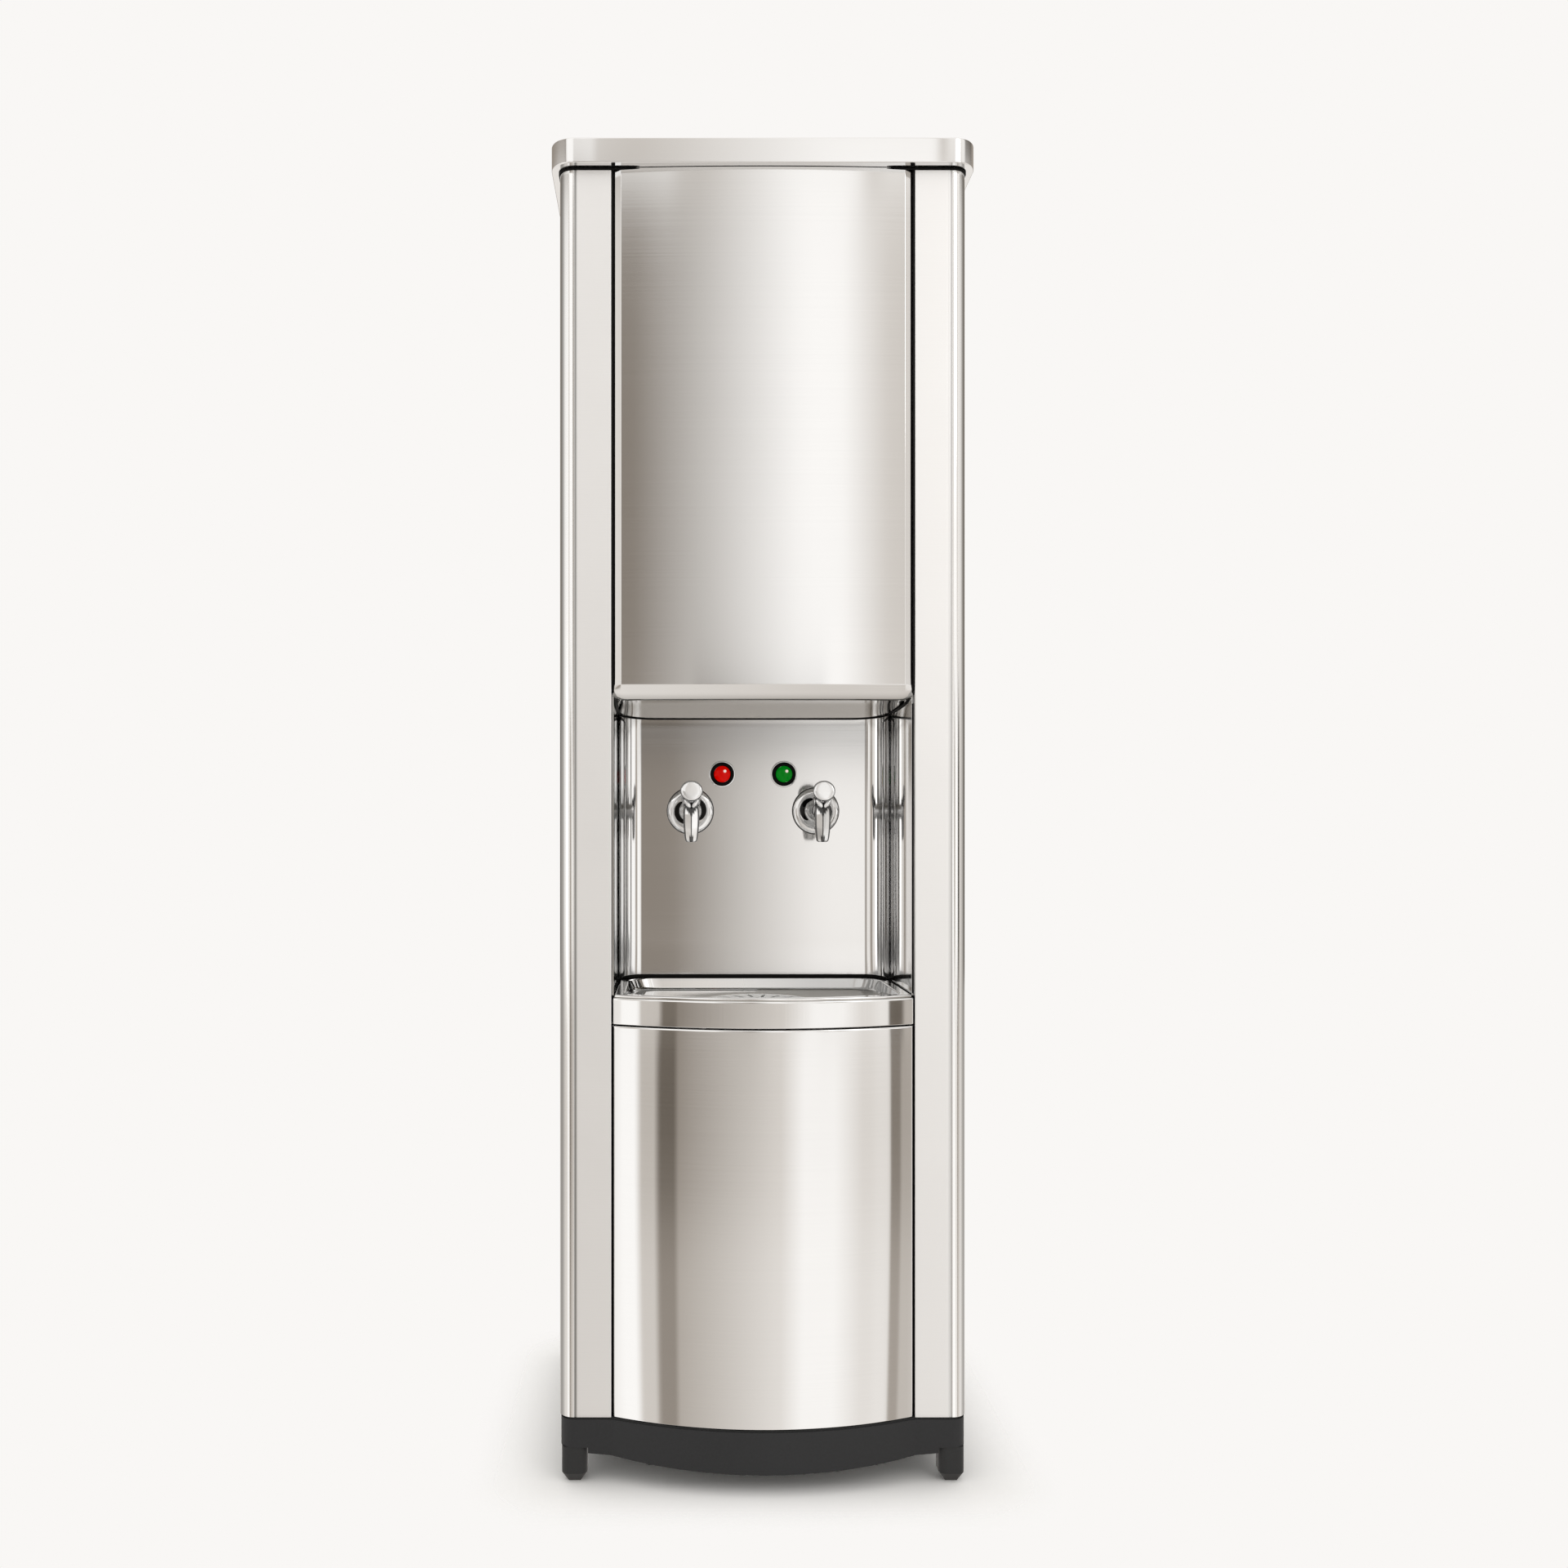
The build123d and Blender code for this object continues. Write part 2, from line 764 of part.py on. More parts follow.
def bulkhead(x, z, outside_radius, outside_length, bore, tail_radius, tail_length):
    """Fitting through the back panel with a nut outside and a tail inside."""
    with BuildPart() as fitting:
        add(along_y(x, z, rear_inner_y - fitting_nut_thickness, back_y + outside_length, outside_radius))
        for face_y in (rear_inner_y - fitting_nut_thickness, back_y):
            with BuildSketch(Plane.XZ.offset(-face_y)):
                with Locations((x, z)):
                    RegularPolygon(outside_radius + fitting_nut_thickness, 6)
            extrude(amount=-fitting_nut_thickness)
        tail_y = rear_inner_y - fitting_nut_thickness - tail_length
        add(along_y(x, z, tail_y, rear_inner_y, tail_radius))
        add(along_y(x, z, tail_y, back_y + outside_length, bore), mode=Mode.SUBTRACT)
    return fitting


save(
    bulkhead(fitting_x, drain_outlet_z, drain_outlet_radius, fitting_reach,
             fitting_bore_radius, stub_radius, fitting_tail),
    "drain_outlet",
)

# Water inlet and cord gland in the back panel
hose_bore = hose_radius - line_wall
save(
    bulkhead(inlet_x, inlet_z, inlet_radius, inlet_length,
             hose_bore - line_wall, hose_bore - drain_hose_fit, fitting_tail),
    "inlet_fitting",
)
save(
    bulkhead(fitting_x, gland_z, gland_radius, gland_length,
             gland_bore_radius, gland_radius - 1, sheet),
    "cord_gland",
)

# Top cap: a pressed lid with a return flange that rests on the panels
cap_half = half_width + cap_side_overhang
cap_front_y = front_y - cap_front_overhang
cap_back_y = back_y + cap_rear_overhang


def cap_plan(inset):
    """Plan of the cap, drawn in by the inset."""
    corner = cap_corner_radius - inset
    return plan_rectangle(cap_half - inset, cap_front_y + inset, cap_back_y - inset, corner)


with BuildPart() as top_cap:
    with BuildSketch(Plane.XY.offset(cap_bottom_z)):
        add(cap_plan(0))
    extrude(amount=cap_height)
    fillet(top_cap.faces().sort_by(Axis.Z)[-1].edges(), radius=cap_edge_radius)
    fillet(top_cap.faces().sort_by(Axis.Z)[0].edges(), radius=cap_edge_radius / 2)
    with BuildSketch(Plane.XY.offset(cap_bottom_z + sheet)):
        add(cap_plan(sheet))
    extrude(amount=cap_height - cap_edge_radius - sheet, mode=Mode.SUBTRACT)
    with BuildSketch(Plane.XY.offset(cap_bottom_z + cap_height - cap_edge_radius)):
        add(cap_plan(cap_edge_radius))
    extrude(amount=cap_edge_radius - sheet, mode=Mode.SUBTRACT)
    with BuildSketch(Plane.XY.offset(cap_bottom_z)):
        add(cap_plan(cap_flange))
    extrude(amount=sheet, mode=Mode.SUBTRACT)
save(top_cap, "top_cap")

# Top frame: a flat ring that ties the panels together under the cap
frame_top_z = panel_top_z - frame_drop
frame_corner = fold_radius + sheet
with BuildPart() as top_frame:
    with BuildSketch(Plane.XY.offset(frame_top_z - sheet)):
        add(plan_rectangle(inner_half, inner_front_y, inner_back_y, frame_corner))
    extrude(amount=sheet)
    with BuildSketch(Plane.XY.offset(frame_top_z - sheet - frame_flange)):
        add(plan_rectangle(
            inner_half - frame_width + sheet,
            inner_front_y + frame_width - sheet,
            inner_back_y - frame_width + sheet,
            frame_corner,
        ))
    extrude(amount=frame_flange)
    with BuildSketch(Plane.XY.offset(frame_top_z - sheet - frame_flange)):
        add(plan_rectangle(
            inner_half - frame_width,
            inner_front_y + frame_width,
            inner_back_y - frame_width,
            fold_radius,
        ))
    extrude(amount=frame_flange + sheet, mode=Mode.SUBTRACT)
save(top_frame, "top_frame")

# Lines that pass through the tank shelf, as centre and radius
shelf_top_z = shelf_z + sheet
cold_line_y = niche_wall_y + cold_line_setback
shank_end_y = niche_wall_y + tap_shank_tail
hot_jacket_radius = (rear_inner_y - hot_rear_gap - shank_end_y - hot_front_gap) / 2
hot_centre_y = shank_end_y + hot_front_gap + hot_jacket_radius
hot_jacket_bore = hot_jacket_radius - hot_foam
hot_radius = hot_jacket_bore - seat_gap
hot_feed_y = hot_centre_y - hot_feed_setback
lane_back_y = inner_back_y - drier_radius - seat_gap
line_holes = [
    (tap_x, cold_line_y, line_radius),
    (-tap_x, hot_feed_y, line_radius),
    (left_lane_x, left_lane_y, suction_radius),
    (left_lane_x, lane_back_y, capillary_radius),
]

# Tank shelf: a plate with upturned front and rear flanges
with BuildPart() as tank_shelf:
    with BuildSketch(Plane.XY.offset(shelf_z)):
        add(plan_rectangle(inner_half, inner_front_y, inner_back_y, frame_corner))
    extrude(amount=sheet)
    for flange_y in (inner_front_y, inner_back_y - sheet):
        with BuildSketch(Plane.XY.offset(shelf_top_z)):
            with Locations((0, flange_y + sheet / 2)):
                Rectangle(2 * (inner_half - frame_corner), sheet)
        extrude(amount=shelf_flange)
    for x, y, radius in line_holes:
        add(along_z(x, y, shelf_z - sheet, shelf_top_z + sheet, radius + line_clearance),
            mode=Mode.SUBTRACT)
save(tank_shelf, "tank_shelf")

# Back panel with louvres and openings for what passes through it
back_half = half_width - back_panel_margin
switch_places = {
    "hot": control_x - switch_pitch / 2,
    "cold": control_x + switch_pitch / 2,
}
with BuildPart() as back_panel:
    with BuildSketch(Plane.XZ.offset(-rear_inner_y)):
        with Locations((0, (panel_bottom_z + panel_top_z) / 2)):
            Rectangle(2 * back_half, panel_height - 2 * sheet)
        with Locations((louvre_centre_x, louvre_centre_z)):
            with GridLocations(louvre_column_pitch, louvre_pitch, 2, louvre_rows):
                SlotOverall(louvre_length, louvre_width, mode=Mode.SUBTRACT)
        for x, z, radius in (
            (fitting_x, drain_outlet_z, drain_outlet_radius),
            (fitting_x, gland_z, gland_radius),
            (inlet_x, inlet_z, inlet_radius),
            (control_x, dial_z, dial_shaft_radius),
        ):
            with Locations((x, z)):
                Circle(radius + screw_clearance, mode=Mode.SUBTRACT)
        with Locations(*[(x, switch_z) for x in switch_places.values()]):
            opening = 2 * (switch_rim + screw_clearance)
            Rectangle(switch_width + opening, switch_height + opening, mode=Mode.SUBTRACT)
        with Locations(*[(side * screw_x, z) for side in (-1, 1) for z in screw_rows_z]):
            Circle(screw_radius + screw_clearance, mode=Mode.SUBTRACT)
    extrude(amount=-sheet)
save(back_panel, "back_panel")

# Screws that hold the back panel to the side panels
with BuildPart() as back_screws:
    for side in (-1, 1):
        for z in screw_rows_z:
            x = side * screw_x
            add(along_y(x, z, back_y - screw_length, back_y, screw_radius))
            add(along_y(x, z, back_y, back_y + screw_head_height, screw_head_radius))
    outer_rims = back_screws.edges().filter_by(GeomType.CIRCLE).group_by(Axis.Y)[-1]
    fillet(outer_rims, radius=screw_head_height / 3)
save(back_screws, "back_screws")

# Thermostat: a switch body inside, a shaft through the panel and a dial outside
shaft_end_y = back_y + seat_gap + dial_socket_depth
with BuildPart() as thermostat_body:
    with BuildSketch(Plane.XZ.offset(-(rear_inner_y - thermostat_depth))):
        with Locations((control_x, dial_z)):
            RectangleRounded(thermostat_size, thermostat_size, 2 * fold_radius)
    extrude(amount=-thermostat_depth)
    add(along_y(control_x, dial_z, rear_inner_y, shaft_end_y, dial_shaft_radius))
save(thermostat_body, "thermostat_body")

with BuildPart() as thermostat_dial:
    with BuildSketch(Plane.XZ.offset(-(back_y + seat_gap))):
        with Locations((control_x, dial_z)):
            Circle(dial_radius)
            with PolarLocations(dial_radius + dial_flute_offset, dial_flutes):
                Circle(dial_flute_radius, mode=Mode.SUBTRACT)
    extrude(amount=-dial_height)
    with BuildSketch(Plane.XZ.offset(-(back_y + seat_gap + dial_height))):
        with Locations((control_x, dial_z + dial_radius / 2)):
            SlotOverall(dial_mark_length, dial_mark_width, rotation=90)
    extrude(amount=dial_mark_depth, mode=Mode.SUBTRACT)
    bore_end_y = shaft_end_y + seat_gap
    add(
        along_y(control_x, dial_z, back_y, bore_end_y, dial_shaft_radius + dial_shaft_clearance),
        mode=Mode.SUBTRACT,
    )
save(thermostat_dial, "thermostat_dial")

# Rocker switches for heating and cooling
with BuildPart() as switch_frames:
    for x in switch_places.values():
        with BuildSketch(Plane.XZ.offset(-back_y)):
            with Locations((x, switch_z)):
                RectangleRounded(
                    switch_width + 2 * switch_bezel, switch_height + 2 * switch_bezel, fold_radius
                )
        extrude(amount=-switch_rim)
        with BuildSketch(Plane.XZ.offset(-(back_y - switch_depth))):
            with Locations((x, switch_z)):
                Rectangle(switch_width + 2 * switch_rim, switch_height + 2 * switch_rim)
        extrude(amount=-switch_depth)
        pocket_y = back_y - switch_depth + switch_rim
        with BuildSketch(Plane.XZ.offset(-pocket_y)):
            with Locations((x, switch_z)):
                Rectangle(switch_width, switch_height)
        extrude(amount=-switch_depth - switch_rim, mode=Mode.SUBTRACT)
save(switch_frames, "switch_frames")

rocker_pivot_y = back_y - rocker_depth / 2
rocker_half = switch_height / 2 - 2 * rocker_clearance - rocker_depth * sin(radians(rocker_tilt))
for switch_name, x in switch_places.items():
    with BuildPart() as rocker:
        rocker_width = switch_width - 2 * rocker_clearance
        with BuildSketch(Plane.YZ.offset(x - rocker_width / 2)):
            with BuildLine():
                Polyline(
                    (rocker_pivot_y - rocker_depth / 2, 0),
                    (rocker_pivot_y, -rocker_half),
                    (back_y + rocker_crown, -rocker_half),
                    (back_y + rocker_crown - rocker_hollow, 0),
                    (back_y + rocker_crown, rocker_half),
                    (rocker_pivot_y, rocker_half),
                    close=True,
                )
            make_face()
        extrude(amount=rocker_width)
    rocker.part = rocker.part.translate((0, -rocker_pivot_y, 0))
    rocker.part = rocker.part.rotate(Axis.X, -rocker_tilt)
    rocker.part = rocker.part.translate((0, rocker_pivot_y, switch_z))
    save(rocker, f"{switch_name}_switch_rocker")

# Insulation jacket and cold tank, one inside the other on the shelf
tank_base_z = shelf_top_z + tank_foam
jacket_bore = jacket_radius - foam_wall
coil_reach = jacket_bore - coil_clearance - coil_tube_radius
coil_radius = sqrt(coil_reach**2 - (coil_pitch / 2) ** 2)
tank_outer = coil_radius - coil_tube_radius - coil_clearance
tank_radius = tank_outer - sheet
coil_low_z = tank_base_z + coil_start
coil_high_z = coil_low_z + (coil_passes - 1) * coil_pitch
with BuildPart() as tank_insulation:
    add(along_z(0, tank_centre_y, shelf_top_z, lid_z, jacket_radius))
    add(along_z(0, tank_centre_y, tank_base_z, lid_z + sheet, jacket_bore), mode=Mode.SUBTRACT)
    for x, y in ((tap_x, cold_line_y), (-tap_x, hot_feed_y)):
        add(along_z(x, y, shelf_z, tank_base_z + sheet, line_radius + line_clearance),
            mode=Mode.SUBTRACT)
    for z in (coil_low_z, coil_high_z):
        add(along_y(-coil_radius, z, tank_centre_y, exit_y, coil_tube_radius + coil_clearance),
            mode=Mode.SUBTRACT)
save(tank_insulation, "tank_insulation")

with BuildPart() as cold_tank:
    add(along_z(0, tank_centre_y, tank_base_z, lid_z, tank_outer))
    add(along_z(0, tank_centre_y, tank_base_z + sheet, lid_z + sheet, tank_radius),
        mode=Mode.SUBTRACT)
    for x, y in ((tap_x, cold_line_y), (-tap_x, hot_feed_y)):
        add(along_z(x, y, tank_base_z - sheet, tank_base_z + 2 * sheet, line_radius + braze_gap),
            mode=Mode.SUBTRACT)
save(cold_tank, "cold_tank")

# Tank lid: a disc with a locating ring and a hole for the float valve
valve_y = tank_centre_y + valve_offset_y
lid_top_z = lid_z + lid_thickness
with BuildPart() as tank_lid:
    add(along_z(0, tank_centre_y, lid_z, lid_top_z, tank_outer + lid_lip))
    add(along_z(0, tank_centre_y, lid_z - lid_plug, lid_z, tank_radius - seat_gap))
    add(
        along_z(0, tank_centre_y, lid_z - lid_plug - sheet, lid_z, tank_radius - seat_gap - lid_thickness),
        mode=Mode.SUBTRACT,
    )
    add(
        along_z(valve_x, valve_y, lid_z - sheet, lid_top_z + sheet, valve_shank_radius + screw_clearance),
        mode=Mode.SUBTRACT,
    )
save(tank_lid, "tank_lid")


def coil_point(angle, z):
    """Point on the evaporator's centre line, by its angle about the tank in degrees."""
    turn = radians(angle)
    return (coil_radius * cos(turn), tank_centre_y + coil_radius * sin(turn), z)


def coil_bend(angle, low_z, heading):
    """Outermost point of the bend that takes the evaporator up to its next pass."""
    x, y, z = coil_point(angle, low_z + coil_pitch / 2)
    turn = radians(angle)
    reach = heading * coil_pitch / 2
    return (x - reach * sin(turn), y + reach * cos(turn), z)


# Evaporator: one tube that goes round the tank and back, pass above pass
with BuildPart() as evaporator_coil:
    with BuildLine():
        start_angle = 180.0
        end_angle = start_angle + coil_sweep
        middle_angle = start_angle + coil_sweep / 2
        coil_start_point = (-coil_radius, exit_y, coil_low_z)
        Line(coil_start_point, coil_point(start_angle, coil_low_z))
        for turn_number in range(coil_passes):
            z = coil_low_z + turn_number * coil_pitch
            heading = 1 if turn_number % 2 == 0 else -1
            first, last = (start_angle, end_angle)[::heading]
            quarter = (middle_angle - first) / 2
            for begin in (first, middle_angle):
                ThreePointArc(
                    coil_point(begin, z),
                    coil_point(begin + quarter, z),
                    coil_point(begin + 2 * quarter, z),
                )
            if turn_number < coil_passes - 1:
                ThreePointArc(
                    coil_point(last, z),
                    coil_bend(last, z, heading),
                    coil_point(last, z + coil_pitch),
                )
        Line(coil_point(start_angle, coil_high_z), (-coil_radius, exit_y, coil_high_z))
    with BuildSketch(Plane(origin=coil_start_point, z_dir=(0, -1, 0))):
        Circle(coil_tube_radius)
    sweep()
save(evaporator_coil, "evaporator_coil")

# Float valve: a shank through the lid, a clevis below it and an elbow above it
clevis_gap = valve_boss + 2 * seat_gap
pivot_z = lid_z - valve_drop + valve_ear + valve_ear_clearance
clevis_top_z = pivot_z + valve_ear + valve_ear_clearance
elbow_end_y = valve_y + 2 * valve_radius
with BuildPart() as float_valve:
    add(along_z(valve_x, valve_y, lid_z - valve_drop, lid_z, valve_radius))
    add(along_z(valve_x, valve_y, lid_z, inlet_z, valve_shank_radius))
    with BuildSketch(Plane.XY.offset(lid_top_z)):
        with Locations((valve_x, valve_y)):
            RegularPolygon(valve_shank_radius + fitting_nut_thickness, 6)
    extrude(amount=fitting_nut_thickness)
    with Locations((valve_x, valve_y, inlet_z)):
        Sphere(valve_elbow_radius)
    add(along_y(valve_x, inlet_z, valve_y, elbow_end_y, valve_shank_radius))
    add(along_y(valve_x, inlet_z, elbow_end_y, elbow_end_y + fitting_tail,
                hose_bore - drain_hose_fit))
    with Locations((valve_x, valve_y, (clevis_top_z + lid_z - valve_drop) / 2)):
        Box(clevis_gap, 3 * valve_radius, clevis_top_z - lid_z + valve_drop, mode=Mode.SUBTRACT)
    with Locations((valve_x, valve_y, pivot_z)):
        Cylinder(pin_radius, 2 * valve_radius - pin_radius, rotation=(0, 90, 0))
save(float_valve, "float_valve")

# Float: an arm on the valve's pin with a hollow ball at its end, shown hanging
ball_y = valve_y - valve_arm_length
ball_z = pivot_z - valve_arm_drop
arm_length = sqrt(valve_arm_length**2 + valve_arm_drop**2)
arm_slope = degrees(atan2(valve_arm_drop, valve_arm_length))
with BuildPart() as float_arm:
    with Locations((valve_x, valve_y, pivot_z)):
        Cylinder(valve_ear, valve_boss, rotation=(0, 90, 0))
        with Locations(Rot(arm_slope, 0, 0)):
            with Locations((0, -arm_length / 2, 0)):
                Cylinder(valve_arm_radius, arm_length, rotation=(90, 0, 0))
        Cylinder(
            pin_radius + pin_clearance, 2 * valve_boss, rotation=(0, 90, 0),
            mode=Mode.SUBTRACT,
        )
    with Locations((valve_x, ball_y, ball_z)):
        Sphere(float_radius)
save(float_arm, "float_arm")

# Inlet hose: from the bulkhead to the float valve's elbow
inlet_end_y = rear_inner_y - fitting_nut_thickness - seat_gap
inlet_turn_y = (elbow_end_y + inlet_end_y) / 2
inlet_hose = tube(
    [
        (valve_x, elbow_end_y + seat_gap, inlet_z),
        (valve_x, inlet_turn_y, inlet_z),
        (inlet_x, inlet_turn_y, inlet_z),
        (inlet_x, inlet_end_y, inlet_z),
    ],
    hose_bend,
    hose_radius,
    hose_bore,
)
save(inlet_hose, "inlet_hose")

# Cold line: from the floor of the cold tank to the cold tap's shank
line_bore = line_radius - line_wall
tank_floor_z = tank_base_z + sheet
cold_line = tube(
    [
        (tap_x, cold_line_y, tank_floor_z),
        (tap_x, cold_line_y, tap_z),
        (tap_x, shank_end_y, tap_z),
    ],
    line_bend,
    line_radius,
    line_bore,
)
save(cold_line, "cold_line")

# Hot feed: from the floor of the cold tank straight down into the hot tank
hot_x = -tap_x
hot_top_z = hot_base_z + hot_height
hot_feed_line = tube(
    [(hot_x, hot_feed_y, tank_floor_z), (hot_x, hot_feed_y, hot_top_z - sheet)],
    0,
    line_radius,
    line_bore,
)
save(hot_feed_line, "hot_feed_line")

# Hot supply: from the front of the hot tank to the hot tap's shank
hot_front_y = hot_centre_y - hot_radius
hot_supply_line = tube(
    [(hot_x, shank_end_y, tap_z), (hot_x, hot_front_y + sheet, tap_z)],
    0,
    line_radius,
    line_bore,
)
save(hot_supply_line, "hot_supply_line")

# Hot tank: a closed vessel with openings for its two lines and its heater
heater_hole = heater_rod_spacing / 2 + heater_rod_radius + 2
with BuildPart() as hot_tank:
    add(along_z(hot_x, hot_centre_y, hot_base_z, hot_top_z, hot_radius))
    add(along_z(hot_x, hot_centre_y, hot_base_z + sheet, hot_top_z - sheet, hot_radius - sheet),
        mode=Mode.SUBTRACT)
    add(along_z(hot_x, hot_feed_y, hot_top_z - 2 * sheet, hot_top_z + sheet, line_radius + braze_gap),
        mode=Mode.SUBTRACT)
    add(along_y(hot_x, tap_z, hot_front_y - sheet, hot_centre_y, line_radius + braze_gap),
        mode=Mode.SUBTRACT)
    add(along_z(hot_x, hot_centre_y, hot_base_z - sheet, hot_base_z + 2 * sheet, heater_hole),
        mode=Mode.SUBTRACT)
save(hot_tank, "hot_tank")

with BuildPart() as hot_tank_insulation:
    add(along_z(hot_x, hot_centre_y, hot_base_z - hot_foam, hot_top_z + hot_foam, hot_jacket_radius))
    add(along_z(hot_x, hot_centre_y, hot_base_z, hot_top_z, hot_jacket_bore), mode=Mode.SUBTRACT)
    add(along_z(hot_x, hot_feed_y, hot_top_z - sheet, hot_top_z + 2 * hot_foam,
                line_radius + line_clearance), mode=Mode.SUBTRACT)
    add(along_y(hot_x, tap_z, hot_front_y - 2 * hot_foam, hot_centre_y,
                line_radius + line_clearance), mode=Mode.SUBTRACT)
    add(along_z(hot_x, hot_centre_y, hot_base_z - 2 * hot_foam, hot_base_z + sheet,
                heater_flange_radius + line_clearance), mode=Mode.SUBTRACT)
save(hot_tank_insulation, "hot_tank_insulation")

# Heater: a flange under the hot tank with a hairpin element above it
heater_flange = heater_rod_radius
with BuildPart() as heater:
    add(along_z(hot_x, hot_centre_y, hot_base_z - heater_flange, hot_base_z, heater_flange_radius))
    with BuildLine():
        rod_x = heater_rod_spacing / 2
        rod_top_z = hot_base_z + heater_length
        low_left = (hot_x - rod_x, hot_centre_y, hot_base_z - heater_flange / 2)
        low_right = (hot_x + rod_x, hot_centre_y, hot_base_z - heater_flange / 2)
        Line(low_left, (hot_x - rod_x, hot_centre_y, rod_top_z))
        ThreePointArc(
            (hot_x - rod_x, hot_centre_y, rod_top_z),
            (hot_x, hot_centre_y, rod_top_z + rod_x),
            (hot_x + rod_x, hot_centre_y, rod_top_z),
        )
        Line((hot_x + rod_x, hot_centre_y, rod_top_z), low_right)
    with BuildSketch(Plane(origin=low_left, z_dir=(0, 0, 1))):
        Circle(heater_rod_radius)
    sweep()
save(heater, "heater")

# Taps: chromed castings with a lever on top that pushes the valve's stem down
spout_y = niche_wall_y - tap_reach
dome_z = tap_z + spout_rise
spout_tip_z = tap_z - spout_drop
tongue_z = tap_z + tongue_rise
gallery_top_z = tap_z + gallery_rise
seat_z = tap_z - chamber_top_drop
chamber_floor_z = seat_z - chamber_height
pivot_y = spout_y + pivot_setback
tap_pivot_z = tap_z + pivot_rise
stem_top_z = dome_z + stem_above_dome
plate_low_z = stem_top_z + lever_gap
ear_inner = tongue_width / 2 + lever_side_gap
ear_outer = ear_inner + lever_ear
lever_ear_radius = pivot_rise - tongue_rise - lever_side_gap


def tap_body(x):
    """Casting with its wall flange, neck, spout and threaded shank."""
    with BuildPart() as body:
        with BuildSketch(Plane.YZ.offset(x)):
            cone_y = niche_wall_y - tap_flange_edge - tap_flange_cone
            with BuildLine():
                Polyline(
                    (shank_end_y, tap_z),
                    (shank_end_y, tap_z + tap_shank_radius),
                    (niche_wall_y, tap_z + tap_shank_radius),
                    (niche_wall_y, tap_z + tap_flange_radius),
                    (niche_wall_y - tap_flange_edge, tap_z + tap_flange_radius),
                    (cone_y, tap_z + tap_neck_radius + 3),
                    (cone_y - 3, tap_z + tap_neck_radius),
                    (spout_y, tap_z + tap_neck_radius - 2),
                    (spout_y, tap_z),
                    close=True,
                )
            make_face()
        revolve(axis=Axis((x, 0, tap_z), (0, 1, 0)))
        with BuildSketch(Plane.YZ.offset(x)):
            with BuildLine():
                Polyline(
                    (spout_y, spout_tip_z),
                    (spout_y + spout_tip_radius, spout_tip_z),
                    (spout_y + spout_tip_radius, spout_tip_z + notch_height),
                    (spout_y + spout_radius, tap_z - spout_shoulder),
                    (spout_y + spout_radius, dome_z - 2 * spout_shoulder),
                )
                ThreePointArc(
                    (spout_y + spout_radius, dome_z - 2 * spout_shoulder),
                    (spout_y + 0.66 * spout_radius, dome_z - 0.5 * spout_shoulder),
                    (spout_y, dome_z),
                )
                Line((spout_y, dome_z), (spout_y, spout_tip_z))
            make_face()
        revolve(axis=Axis((x, spout_y, 0), (0, 0, 1)))
        side_cut = spout_radius
        for side in (-1, 1):
            with Locations((
                x + side * (tongue_width / 2 + side_cut / 2),
                spout_y,
                tongue_z + spout_rise,
            )):
                Box(side_cut, 3 * spout_radius, 2 * spout_rise, mode=Mode.SUBTRACT)
        with Locations((x, spout_y, spout_tip_z)):
            Box(notch_width, 3 * spout_radius, 2 * notch_height, mode=Mode.SUBTRACT)
        bores = [
            along_z(x, spout_y, spout_tip_z - 1, seat_z, spout_bore_radius),
            along_z(x, spout_y, chamber_floor_z, seat_z, chamber_radius),
            along_z(x, spout_y, seat_z, gallery_top_z, gallery_radius),
            along_z(x, spout_y, gallery_top_z, dome_z + 1, stem_radius + stem_clearance),
            along_y(x, tap_z, spout_y, shank_end_y + 1, line_bore),
        ]
        for bore in bores:
            add(bore, mode=Mode.SUBTRACT)
        with Locations((x, pivot_y, tap_pivot_z)):
            Cylinder(pin_radius, 4 * tongue_width, rotation=(0, 90, 0), mode=Mode.SUBTRACT)
    return body


def tap_lever(x):
    """Forked lever with a round thumb pad."""
    pad_y = spout_y - pad_reach
    pad_z = tap_z + pad_rise + spout_rise / 2
    with BuildPart() as lever:
        with BuildSketch(Plane.YZ.offset(x - ear_outer)):
            with BuildLine():
                Polyline(
                    (pivot_y + lever_ear_radius, tap_pivot_z),
                    (pivot_y + lever_ear_radius, plate_low_z + lever_plate),
                    (spout_y - spout_radius, plate_low_z + lever_plate),
                    (spout_y - spout_radius, plate_low_z),
                    (pivot_y - lever_ear_radius, tap_pivot_z),
                    close=True,
                )
            make_face()
            with Locations((pivot_y, tap_pivot_z)):
                Circle(lever_ear_radius)
        extrude(amount=2 * ear_outer)
        with Locations((x, spout_y, plate_low_z - spout_rise)):
            Box(2 * ear_inner, 4 * spout_radius, 2 * spout_rise, mode=Mode.SUBTRACT)
        with BuildSketch(Plane.XY.offset(plate_low_z)):
            with BuildLine():
                Polyline(
                    (x - ear_outer, spout_y),
                    (x - ear_outer, spout_y - spout_radius),
                    (x - lever_ear_radius / 2, pad_y),
                    (x + lever_ear_radius / 2, pad_y),
                    (x + ear_outer, spout_y - spout_radius),
                    (x + ear_outer, spout_y),
                    close=True,
                )
            make_face()
        extrude(amount=lever_plate)
        tilt = radians(pad_tilt)
        facing = Plane(origin=(x, pad_y, pad_z), z_dir=(0, -cos(tilt), sin(tilt)))
        with BuildSketch(facing):
            Circle(pad_radius)
        extrude(amount=pad_thickness)
        rims = lever.edges().filter_by(GeomType.CIRCLE).filter_by(
            lambda edge: abs(edge.radius - pad_radius) < 0.01
        )
        fillet(rims, radius=pad_thickness / 3)
        with Locations((x, pivot_y, tap_pivot_z)):
            Cylinder(
                pin_radius + pin_clearance, 4 * tongue_width, rotation=(0, 90, 0),
                mode=Mode.SUBTRACT,
            )
    return lever


